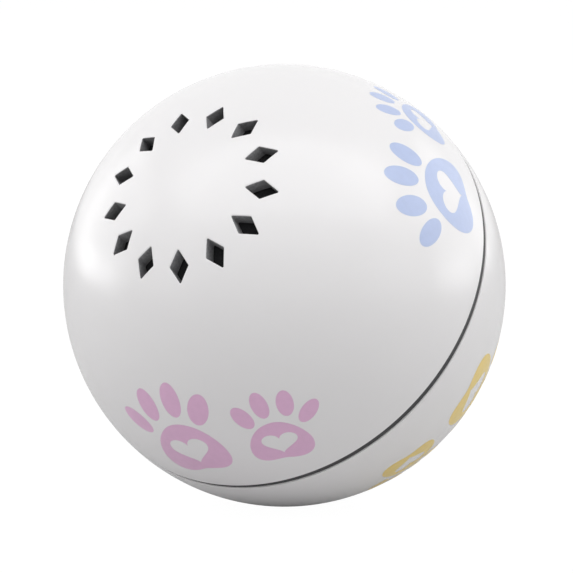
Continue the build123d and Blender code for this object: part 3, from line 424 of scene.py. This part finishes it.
def ring_profile():
    """Section of the rubber ring between the two rims."""
    low = SEAM_HEIGHT - SEAM_GAP / 2
    high = SEAM_HEIGHT + SEAM_GAP / 2 - RING_END_GAP
    inner = BORE_R - COLLAR_CLEARANCE + RING_SEAT_GAP
    outer = sphere_height(BALL_R - RING_SINK, high)
    return rounded([(inner, low), (outer, low), (outer, high), (inner, high)], RING_ROUND)


ring = lathe("sealing_ring_skin", ring_profile())
smooth(ring)
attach(ring, "base_half")
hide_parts("sealing_ring")


# Felt behind the vents


def felt_pad():
    """A cup of pressed felt with a fibrous, slightly uneven surface."""
    outer = INSIDE_R - FELT_GAP
    inner = outer - FELT_THICKNESS
    top = arc((0, 0), outer, pi / 2 - FELT_INNER, pi / 2 - FELT_OUTER, FELT_ARC_STEPS)
    low = arc((0, 0), inner, pi / 2 - FELT_OUTER, pi / 2 - FELT_INNER, FELT_ARC_STEPS)
    middle = (outer + inner) / 2
    ends = (FELT_OUTER + FELT_END_BULGE, FELT_INNER - FELT_END_BULGE)
    rim, eye = [(middle * sin(angle), middle * cos(angle)) for angle in ends]
    felt = lathe("scent_felt_pad", [*top, rim, *low, eye], FELT_TURN_STEPS)
    for vertex in felt.data.vertices:
        coarse = noise.noise(vertex.co / FELT_COARSE)
        fine = noise.noise(vertex.co / FELT_FINE)
        vertex.co *= 1 + FELT_FUZZ * (coarse + fine) / (2 * outer)
    smooth(felt, sharp_angle=radians(60))
    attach(felt, "vented_half")
    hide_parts("scent_felt")
    return felt


felt = felt_pad()


# Paw prints

# Outlines in shares of half the pad's width, with the toes pointing up. The pad is a closed curve
# through a few points, its left lobe a little lower than its right.
PAD_POINTS = [
    (-0.12, 0.85),
    (0.24, 0.82),
    (0.54, 0.67),
    (0.79, 0.42),
    (0.95, 0.11),
    (0.99, -0.22),
    (0.88, -0.46),
    (0.66, -0.59),
    (0.40, -0.63),
    (0.10, -0.67),
    (-0.18, -0.79),
    (-0.46, -0.85),
    (-0.73, -0.79),
    (-0.92, -0.58),
    (-0.985, -0.25),
    (-0.90, 0.13),
    (-0.71, 0.47),
    (-0.44, 0.73),
]
# Middle across, middle up, half width, half length, lean to the left in degrees
TOES = [
    (-1.36, 0.72, 0.25, 0.46, 56),
    (-0.84, 1.31, 0.27, 0.46, 16),
    (-0.09, 1.555, 0.265, 0.485, 3),
    (0.614, 1.32, 0.275, 0.46, -18),
]
HEART_MIDDLE = (-0.03, 0.01)
HEART_HALF_WIDTH = 0.57
HEART_HEIGHT = 0.46
HEART_TIP = 0.9
HEART_LEAN = radians(12)
PRINT_DEPTH = 0.03 * MM
LARGE_PAW = 6.0 * MM
SMALL_PAW = 4.63 * MM

# Each print: name, half, colour, for the middle of its sheet the angle from the vented pole and
# the turn about the axle in degrees, size, -1 where it is mirrored, and the pad's place on the
# sheet in millimetres
PRINTS = [
    ("pink_large", "vented_half", "pink", 68, 271.1, LARGE_PAW, 1, (-0.27, -2.17)),
    ("pink_small", "vented_half", "pink", 67, 296.2, SMALL_PAW, -1, (-0.2, -3.43)),
    ("blue_large", "vented_half", "blue", 66, 23.4, LARGE_PAW, 1, (0.23, -4.0)),
    ("blue_small", "vented_half", "blue", 67, 47.4, SMALL_PAW, -1, (0.93, -3.93)),
    ("yellow_large", "vented_half", "yellow", 67, 147.0, LARGE_PAW, 1, (0.0, -3.4)),
    ("yellow_small", "vented_half", "yellow", 67, 172.2, SMALL_PAW, -1, (0.0, -3.5)),
    ("yellow_low_large", "base_half", "yellow", 110, 346.0, LARGE_PAW, 1, (1.83, 1.5)),
    ("yellow_low_small", "base_half", "yellow", 110, 322.0, SMALL_PAW, -1, (2.67, 0.9)),
    ("pink_low_large", "base_half", "pink", 112, 103.4, LARGE_PAW, 1, (0.0, 0.4)),
    ("pink_low_small", "base_half", "pink", 112, 78.0, SMALL_PAW, -1, (0.0, 0.2)),
    ("blue_low_large", "base_half", "blue", 112, 223.4, LARGE_PAW, 1, (0.0, 0.4)),
    ("blue_low_small", "base_half", "blue", 112, 198.0, SMALL_PAW, -1, (0.0, 0.2)),
]


def closed_curve(points, steps=10):
    """A smooth closed curve through the points."""
    ring = np.array(points, float)
    made = []
    for k in range(len(ring)):
        p0, p1, p2, p3 = (ring[(k + n) % len(ring)] for n in (-1, 0, 1, 2))
        for step in range(steps):
            t = step / steps
            made.append(
                0.5
                * (
                    2 * p1
                    + (p2 - p0) * t
                    + (2 * p0 - 5 * p1 + 4 * p2 - p3) * t**2
                    + (3 * p1 - p0 - 3 * p2 + p3) * t**3
                )
            )
    return np.array(made)


def leaning(across, up, lean):
    """Points of an outline, turned to the left by an angle."""
    c, s = cos(lean), sin(lean)
    return np.stack([across * c - up * s, across * s + up * c], -1)


def heart_outline(steps=120):
    """The usual heart curve of four cosines, with its tip drawn in a little."""
    turns = np.arange(steps) * tau / steps
    across = HEART_HALF_WIDTH * np.sin(turns) ** 3
    up = HEART_HEIGHT * (
        13 * np.cos(turns) - 5 * np.cos(2 * turns) - 2 * np.cos(3 * turns) - np.cos(4 * turns)
    ) / 15
    up = np.where(up < 0, up * HEART_TIP, up)
    return leaning(across, up, HEART_LEAN) + HEART_MIDDLE


def pad_rings(count=9):
    """Rings of points from the heart out to the pad's edge."""
    heart = heart_outline()
    edge = closed_curve(PAD_POINTS) - HEART_MIDDLE
    angles = np.unwrap(np.arctan2(edge[:, 1], edge[:, 0]))
    reach = np.linalg.norm(edge, axis=1)
    order = np.argsort(angles % tau)
    away = heart - HEART_MIDDLE
    at = np.arctan2(away[:, 1], away[:, 0]) % tau
    far = np.interp(at, (angles % tau)[order], reach[order], period=tau)
    outer = np.stack([far * np.cos(at), far * np.sin(at)], -1) + HEART_MIDDLE
    return [heart + (outer - heart) * k / (count - 1) for k in range(count)]


def toe_rings(toe, count=5, steps=56):
    """Rings of points from a toe's middle out to its edge."""
    x, y, half_width, half_length, lean = toe
    turns = np.arange(steps) * tau / steps
    edge = leaning(half_width * np.cos(turns), half_length * np.sin(turns), radians(lean))
    return [edge * k / count + (x, y) for k in range(1, count + 1)]


def sheet_frame(from_pole, about, towards):
    """Outward, across and up directions of a print's sheet, in the axle's frame."""
    t, a = radians(from_pole), radians(about)
    out = Vector((sin(t) * cos(a), sin(t) * sin(a), cos(t)))
    up = -Vector((cos(t) * cos(a), cos(t) * sin(a), -sin(t))) * towards
    return out, up.cross(out), up


def paw_print(name, half, from_pole, about, size, mirror, place):
    """A paw print as a thin closed film wrapped onto the ball."""
    towards = 1 if half == "vented_half" else -1
    out, across, up = sheet_frame(from_pole, about, towards)

    def on_ball(point, radius):
        x = mirror * point[0] * size + place[0] * MM
        y = point[1] * size + place[1] * MM
        reach = sqrt(x * x + y * y)
        turn = reach / CAD_R
        if reach < TINY:
            return out * radius
        return (out * cos(turn) + (across * x + up * y) * (sin(turn) / reach)) * radius

    verts, faces = [], []

    def film(rings, hub=None):
        """Top and underside of one patch, with its edges closed. With a hub it has no hole."""
        count = len(rings[0])
        layers = []
        for radius in (BALL_R + PRINT_PROUD, BALL_R - PRINT_DEPTH):
            layer = []
            for ring in rings:
                layer.append(list(range(len(verts), len(verts) + count)))
                verts.extend(on_ball(point, radius) for point in ring)
            for low, high in zip(layer, layer[1:]):
                faces.extend(wall_between(low, high))
            if hub:
                inner, middle = layer[0], len(verts)
                verts.append(on_ball(hub, radius))
                faces.extend([inner[k], inner[(k + 1) % count], middle] for k in range(count))
            layers.append(layer)
        top, underside = layers
        for edge in (-1,) if hub else (0, -1):
            faces.extend(wall_between(top[edge], underside[edge]))

    film(pad_rings())
    for toe in TOES:
        film(toe_rings(toe), (toe[0], toe[1]))
    made = shell_object(name, verts, faces)
    smooth(made, ball_r=BALL_R + PRINT_PROUD / 2)
    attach(made, half)
    return made


prints = {}
for name, half, colour, from_pole, about, size, mirror, place in PRINTS:
    made = paw_print("paw_" + name, half, from_pole, about, size, mirror, place)
    prints.setdefault(colour, []).append(made)


# Materials

# Most values of a noise texture lie between these two
NOISE_LOW = 0.3
NOISE_HIGH = 0.7


class Finish:
    """A Principled material whose detail is read in the axle's frame. Other sockets are given by
    name, with _ in place of a space."""

    def __init__(self, name, colour, roughness, metallic=0.0, **sockets):
        self.name = name
        self.material = bpy.data.materials.new(name)
        self.material.use_nodes = True
        self.nodes = self.material.node_tree.nodes
        self.links = self.material.node_tree.links
        self.shader = self.nodes["Principled BSDF"]
        self.colour = colour
        self.set("Base Color", (*colour, 1))
        self.set("Roughness", roughness)
        self.set("Metallic", metallic)
        for socket, value in sockets.items():
            self.set(socket.replace("_", " "), value)
        place = self.nodes.new("ShaderNodeTexCoord")
        self.place = self.nodes.new("ShaderNodeMapping")
        self.place.inputs["Rotation"].default_value = (-TIP_ANGLE, 0, 0)
        self.links.new(place.outputs["Object"], self.place.inputs["Vector"])

    def set(self, socket, value):
        self.shader.inputs[socket].default_value = value

    def noise(self, size, detail=3.0, stretch=(1, 1, 1)):
        """Noise whose features are about this size, drawn out along the axes given."""
        node = self.nodes.new("ShaderNodeTexNoise")
        node.inputs["Scale"].default_value = 1 / size
        node.inputs["Detail"].default_value = detail
        scale = self.nodes.new("ShaderNodeMapping")
        scale.inputs["Scale"].default_value = stretch
        self.links.new(self.place.outputs["Vector"], scale.inputs["Vector"])
        self.links.new(scale.outputs["Vector"], node.inputs["Vector"])
        return node.outputs["Fac"]

    def spread(self, value, low, high):
        """A noise value, spread from low to high."""
        node = self.nodes.new("ShaderNodeMapRange")
        node.inputs["From Min"].default_value = NOISE_LOW
        node.inputs["From Max"].default_value = NOISE_HIGH
        node.inputs["To Min"].default_value = low
        node.inputs["To Max"].default_value = high
        self.links.new(value, node.inputs["Value"])
        return node.outputs["Result"]

    def mottle(self, size, amount=0.0, tint=None, **options):
        """Let the colour vary from place to place, darker by an amount or else towards a tint."""
        mix = self.nodes.new("ShaderNodeMix")
        mix.data_type = "RGBA"
        other = tint or tuple(c * (1 - amount) for c in self.colour)
        mix.inputs["A"].default_value = (*self.colour, 1)
        mix.inputs["B"].default_value = (*other, 1)
        self.links.new(self.spread(self.noise(size, **options), 0, 1), mix.inputs["Factor"])
        self.links.new(mix.outputs["Result"], self.shader.inputs["Base Color"])
        return self

    def patchy(self, size, low, high, **options):
        """Let the roughness vary between two values."""
        spread = self.spread(self.noise(size, **options), low, high)
        self.links.new(spread, self.shader.inputs["Roughness"])
        return self

    def relief(self, size, depth, **options):
        """Fine relief of this size and depth."""
        return self.bump(self.noise(size, **options), depth)

    def bump(self, height, depth):
        """Relief of this depth from a height, over any relief that is there already."""
        node = self.nodes.new("ShaderNodeBump")
        node.inputs["Strength"].default_value = 1
        node.inputs["Distance"].default_value = depth
        self.links.new(height, node.inputs["Height"])
        before = self.shader.inputs["Normal"].links
        if before:
            self.links.new(before[0].from_socket, node.inputs["Normal"])
        self.links.new(node.outputs["Normal"], self.shader.inputs["Normal"])
        return self

    def bands(self, size, depth, direction="Z"):
        """Even ridges of this width, such as laminations or turned wire. At a scale of 1 the wave
        texture has ten of them in a length of pi."""
        node = self.nodes.new("ShaderNodeTexWave")
        node.wave_type = "BANDS"
        node.bands_direction = direction
        node.inputs["Scale"].default_value = pi / (10 * size)
        self.links.new(self.place.outputs["Vector"], node.inputs["Vector"])
        return self.bump(node.outputs["Fac"], depth)


def moulded(name, colour, roughness=0.42, grain=0.25 * MM, **sockets):
    """Moulded plastic with a faint spark-eroded grain."""
    made = Finish(name, colour, roughness, **sockets)
    made.mottle(size=3 * MM, amount=0.08)
    made.patchy(size=1.5 * MM, low=roughness - 0.05, high=roughness + 0.08)
    return made.relief(size=grain, depth=0.006 * MM, detail=2.0)


def plated(name, colour, roughness=0.28, stretch=(1, 1, 1), **sockets):
    """Plated or machined metal with fine tool marks."""
    made = Finish(name, colour, roughness, metallic=1.0, **sockets)
    made.mottle(size=1.5 * MM, amount=0.12)
    made.patchy(size=0.6 * MM, low=roughness - 0.06, high=roughness + 0.1)
    return made.relief(size=0.12 * MM, depth=0.002 * MM, stretch=stretch)


def glossy_shell():
    """White gloss paint over the moulding, with a faint orange peel and an uneven gloss."""
    made = Finish(
        "shell_white",
        (0.868, 0.856, 0.862),
        roughness=0.25,
        Coat_Weight=0.12,
        Coat_Roughness=0.15,
        Subsurface_Weight=0.03,
        Subsurface_Radius=(0.6 * MM, 0.6 * MM, 0.6 * MM),
    )
    made.mottle(size=24 * MM, amount=0.01, detail=0.0)
    made.patchy(size=14 * MM, low=0.235, high=0.265, detail=0.0)
    return made.relief(size=2.2 * MM, depth=0.0008 * MM, detail=1.0)


def printed(name, colour):
    """Pad-printed ink: a little less glossy than the shell, with a faint unevenness."""
    made = Finish(name, colour, roughness=0.3, Coat_Weight=0.15, Coat_Roughness=0.12)
    made.mottle(size=0.9 * MM, amount=0.03, detail=1.0)
    made.patchy(size=0.9 * MM, low=0.28, high=0.34)
    return made.relief(size=0.3 * MM, depth=0.0015 * MM)


def pressed_felt():
    """Charcoal felt, with lighter fibres and a soft sheen."""
    made = Finish(
        "felt_charcoal",
        (0.008, 0.008, 0.009),
        roughness=0.95,
        Sheen_Weight=0.15,
        Sheen_Roughness=0.5,
    )
    made.mottle(size=0.25 * MM, tint=(0.02, 0.02, 0.022), detail=6.0)
    return made.relief(size=0.12 * MM, depth=0.05 * MM, detail=6.0)


TRACK_PITCH = 1.6 * MM
TRACK_WIDTH = 0.07
TRACK_RELIEF = 0.02 * MM


def circuit():
    """Green solder mask over copper tracks, which show as a faint relief and lighter lines."""
    made = Finish("board_green", (0.015, 0.12, 0.045), roughness=0.3, Coat_Weight=0.4)
    tracks = made.nodes.new("ShaderNodeTexBrick")
    tracks.inputs["Scale"].default_value = 1 / TRACK_PITCH
    tracks.inputs["Mortar Size"].default_value = TRACK_WIDTH
    tracks.inputs["Color1"].default_value = (0.012, 0.10, 0.04, 1)
    tracks.inputs["Color2"].default_value = (0.016, 0.125, 0.05, 1)
    tracks.inputs["Mortar"].default_value = (0.05, 0.22, 0.09, 1)
    turned = made.nodes.new("ShaderNodeMapping")
    turned.inputs["Rotation"].default_value = (pi / 2, 0, 0)
    made.links.new(made.place.outputs["Vector"], turned.inputs["Vector"])
    made.links.new(turned.outputs["Vector"], tracks.inputs["Vector"])
    made.links.new(tracks.outputs["Color"], made.shader.inputs["Base Color"])
    return made.bump(tracks.outputs["Fac"], TRACK_RELIEF)


def foil():
    """Crinkled foil of the cell's pouch."""
    made = plated("cell_foil", (0.66, 0.67, 0.69), 0.36)
    return made.relief(size=2.4 * MM, depth=0.06 * MM, detail=4.0)


def lens():
    """Clear, faintly blue plastic of the status lamp."""
    made = Finish("lamp_lens", (0.8, 0.86, 0.95), 0.15, Transmission_Weight=0.6, IOR=1.5)
    return made.mottle(size=0.5 * MM, amount=0.04).relief(size=0.2 * MM, depth=0.002 * MM)


BRASS = (0.72, 0.53, 0.24)

# Tool marks that are drawn out along the axle
ALONG_AXLE = (1, 1, 0.15)

# A finish for each slot that the record names
FINISH_LIST = [
    glossy_shell(),
    pressed_felt(),
    circuit(),
    moulded("seal_rubber", (0.05, 0.05, 0.052), 0.6),
    moulded("unit_black", (0.028, 0.029, 0.031), 0.45),
    moulded("plate_grey", (0.22, 0.23, 0.24), 0.45),
    moulded("motor_cap", (0.62, 0.6, 0.54), 0.4),
    moulded("gear_nylon", (0.78, 0.76, 0.68), 0.38, Subsurface_Weight=0.05),
    moulded("switch_black", (0.02, 0.02, 0.022), 0.35),
    moulded("chip_black", (0.016, 0.016, 0.017), 0.5, grain=0.1 * MM),
    moulded("header_cream", (0.72, 0.67, 0.52), 0.4),
    moulded("button_grey", (0.42, 0.43, 0.45), 0.4),
    moulded("lead_red", (0.55, 0.02, 0.015), 0.35),
    moulded("lead_black", (0.015, 0.015, 0.016), 0.35),
    moulded("magnet_ferrite", (0.045, 0.043, 0.042), 0.6),
    plated("screw_steel", (0.56, 0.57, 0.58), 0.3),
    plated("pin_steel", (0.62, 0.62, 0.63), 0.18, stretch=ALONG_AXLE),
    plated("motor_steel", (0.6, 0.6, 0.6), 0.3, stretch=ALONG_AXLE),
    plated("socket_steel", (0.64, 0.64, 0.65), 0.22),
    plated("ballast_steel", (0.36, 0.37, 0.38), 0.42),
    plated("bush_brass", (0.6, 0.42, 0.2), 0.38),
    plated("gear_brass", BRASS, 0.25),
    plated("contact_brass", BRASS, 0.3),
    plated("core_iron", (0.3, 0.3, 0.31), 0.4).bands(0.35 * MM, 0.03 * MM),
    plated("winding_copper", (0.72, 0.3, 0.14), 0.3).bands(0.25 * MM, 0.05 * MM, "X"),
    foil(),
    lens(),
]
FINISHES = {finish.name: finish for finish in FINISH_LIST}

PRINT_COLOURS = {
    "pink": (0.80, 0.49, 0.71),
    "blue": (0.48, 0.565, 0.81),
    "yellow": (0.92, 0.69, 0.19),
}


def wear(obj, finish):
    """Give the object this finish alone."""
    obj.data.materials.clear()
    obj.data.materials.append(finish.material)


def paint_outside(obj, paint, plastic):
    """Paint on the ball's surface, its edges and the rims. All other faces get painted shade: a dark grey that
    stands for the shade in the vent walls, the bore and the inside.
    """
    wear(obj, paint)
    obj.data.materials.append(plastic.material)
    for face in obj.data.polygons:
        at_rim = abs(face.center.dot(POLE) - SEAM_HEIGHT) < RIM_REACH
        reach = RIM_PAINT_DEPTH if at_rim else PAINT_REACH
        face.material_index = 0 if face.center.length > BALL_R - reach else 1


for part in frame["record"]["subparts"]:
    wear(frame["nodes"][part["node"]], FINISHES[part["material_slot"]])
# Painted shade: a speckled dark grey that darkens the vent walls and the shells' insides, where shade falls
painted_shade_grey = moulded("shell_painted_shade", (0.34, 0.34, 0.35), 0.5)
painted_shade_grey.mottle(size=0.35 * MM, amount=0.4)
for piece in (vented, base):
    paint_outside(piece, FINISHES["shell_white"], painted_shade_grey)
wear(felt, FINISHES["felt_charcoal"])
wear(ring, FINISHES["seal_rubber"])
for colour, pieces in prints.items():
    ink = printed("print_" + colour, PRINT_COLOURS[colour])
    for piece in pieces:
        wear(piece, ink)


# Stage: a pale floor that keeps the ball's shadow, and white beyond it

FLOOR_HALF = 6.0
FLOOR_GREY = 0.63
FLOOR_GLOW = 1.07
SKY_LIGHT = 0.25
SKY_SEEN = 1.0

# Share of plain white where the camera, a clear piece or a reflection sees the floor or the sky
FLOOR_WHITE = {"Is Camera Ray": 0.92, "Is Transmission Ray": 0.92, "Is Glossy Ray": 0.1}
SKY_WHITE = {"Is Camera Ray": 1.0, "Is Transmission Ray": 1.0, "Is Glossy Ray": 1.0}


def share_of_rays(nodes, links, amounts):
    """The amount that belongs to the kind of ray in hand, or 0."""
    path = nodes.new("ShaderNodeLightPath")
    share = None
    for ray, amount in amounts.items():
        part = nodes.new("ShaderNodeMath")
        part.operation = "MULTIPLY"
        part.inputs[1].default_value = amount
        links.new(path.outputs[ray], part.inputs[0])
        if share is None:
            share = part
            continue
        most = nodes.new("ShaderNodeMath")
        most.operation = "MAXIMUM"
        links.new(share.outputs[0], most.inputs[0])
        links.new(part.outputs[0], most.inputs[1])
        share = most
    return share.outputs[0]


def mix_into(output, nodes, links, amounts, usual, seen):
    """Show one shader as usual, and another by its share of the rays."""
    mix = nodes.new("ShaderNodeMixShader")
    links.new(share_of_rays(nodes, links, amounts), mix.inputs["Fac"])
    links.new(usual.outputs[0], mix.inputs[1])
    links.new(seen.outputs[0], mix.inputs[2])
    links.new(mix.outputs[0], nodes[output].inputs["Surface"])


def floor_material():
    """Matt pale grey, mixed with plain white."""
    material = bpy.data.materials.new("studio_floor")
    material.use_nodes = True
    nodes, links = material.node_tree.nodes, material.node_tree.links
    matt = nodes["Principled BSDF"]
    matt.inputs["Base Color"].default_value = (FLOOR_GREY, FLOOR_GREY, FLOOR_GREY, 1)
    matt.inputs["Roughness"].default_value = 0.9
    matt.inputs["Specular IOR Level"].default_value = 0.1
    white = nodes.new("ShaderNodeEmission")
    white.inputs["Strength"].default_value = FLOOR_GLOW
    mix_into("Material Output", nodes, links, FLOOR_WHITE, matt, white)
    return material


floor_mesh = bpy.data.meshes.new("studio_floor")
corners = [(-1, -1), (1, -1), (1, 1), (-1, 1)]
floor_mesh.from_pydata(
    [(x * FLOOR_HALF, y * FLOOR_HALF, cad_low.z) for x, y in corners], [], [(0, 1, 2, 3)]
)
floor_mesh.materials.append(floor_material())
floor = bpy.data.objects.new("studio_floor", floor_mesh)
bpy.context.scene.collection.objects.link(floor)

world = bpy.data.worlds.new("studio_world")
bpy.context.scene.world = world
world.use_nodes = True
world_nodes, world_links = world.node_tree.nodes, world.node_tree.links
sky = world_nodes["Background"]
plain = world_nodes.new("ShaderNodeBackground")
for background, strength in ((sky, SKY_LIGHT), (plain, SKY_SEEN)):
    background.inputs["Color"].default_value = (1, 1, 1, 1)
    background.inputs["Strength"].default_value = strength
mix_into("World Output", world_nodes, world_links, SKY_WHITE, sky, plain)


# Camera, at the photograph's angle

PHOTO_SIDE_PX = 573
BALL_MIDDLE_PX = (284.38, 285.38)
BALL_RADIUS_PX = 221.5
CAMERA_RADII = 14
CAMERA_ELEVATION = radians(8.0)
CAMERA_AZIMUTH = radians(31.74)

sa, ca = sin(CAMERA_AZIMUTH), cos(CAMERA_AZIMUTH)
se, ce = sin(CAMERA_ELEVATION), cos(CAMERA_ELEVATION)
RIGHT = Vector((ca, sa, 0))
UP = Vector((-sa * se, ca * se, ce))
BACK = Vector((sa * ce, -ca * ce, se))

camera = bpy.data.objects.new("camera", bpy.data.cameras.new("camera"))
bpy.context.scene.collection.objects.link(camera)
facing = Matrix((RIGHT, UP, BACK)).transposed().to_4x4()
camera.matrix_world = Matrix.Translation(BACK * CAD_R * CAMERA_RADII) @ facing
focal_px = BALL_RADIUS_PX * sqrt(CAMERA_RADII**2 - 1)
camera.data.lens = camera.data.sensor_width * focal_px / PHOTO_SIDE_PX
camera.data.shift_x = (PHOTO_SIDE_PX / 2 - BALL_MIDDLE_PX[0]) / PHOTO_SIDE_PX
camera.data.shift_y = (BALL_MIDDLE_PX[1] - PHOTO_SIDE_PX / 2) / PHOTO_SIDE_PX
camera.data.clip_start, camera.data.clip_end = 0.01, 30
bpy.context.scene.camera = camera


# Lights

# Each soft box: name, place across, up and towards the camera, width, height and power in watts
SOFT_BOXES = [
    ("key_box", 0.0, 0.75, 0.45, 2.0, 0.7, 6.7),
    ("brow_box", 0.0, 0.45, 0.8, 1.2, 0.4, 0.8),
    ("high_box", 0.0, 0.95, -0.05, 1.8, 0.7, 0.2),
    ("left_box", -0.85, 0.1, -0.35, 0.9, 1.2, 3.5),
    ("left_strip", -0.8, 0.05, -0.3, 0.5, 0.16, 0.5),
    ("left_rim_box", -0.65, 0.05, -0.75, 0.5, 0.8, 0.4),
    ("left_high_box", -0.7, 0.65, 0.2, 0.6, 0.7, 0.6),
    ("left_front_box", -0.8, 0.05, 0.45, 0.5, 0.7, 0.5),
    ("right_box", 0.85, 0.1, -0.3, 0.9, 1.2, 3.4),
    ("right_strip", 0.82, 0.05, -0.1, 0.4, 0.16, 0.3),
    ("right_rim_box", 0.65, 0.05, -0.75, 0.5, 0.8, 0.2),
    ("right_high_box", 0.7, 0.65, 0.2, 0.6, 0.7, 0.8),
    ("right_front_box", 0.8, 0.05, 0.45, 0.5, 0.7, 0.5),
]


def soft_box(name, across, up, towards, width, height, power):
    """An area light placed by the camera's directions, facing the ball."""
    lamp = bpy.data.lights.new(name, "AREA")
    lamp.shape, lamp.size, lamp.size_y, lamp.energy = "RECTANGLE", width, height, power
    obj = bpy.data.objects.new(name, lamp)
    obj.location = RIGHT * across + UP * up + BACK * towards
    obj.rotation_euler = (ORIGIN - obj.location).to_track_quat("-Z", "Y").to_euler()
    bpy.context.scene.collection.objects.link(obj)


for box in SOFT_BOXES:
    soft_box(*box)

bpy.context.scene.view_settings.view_transform = "Standard"
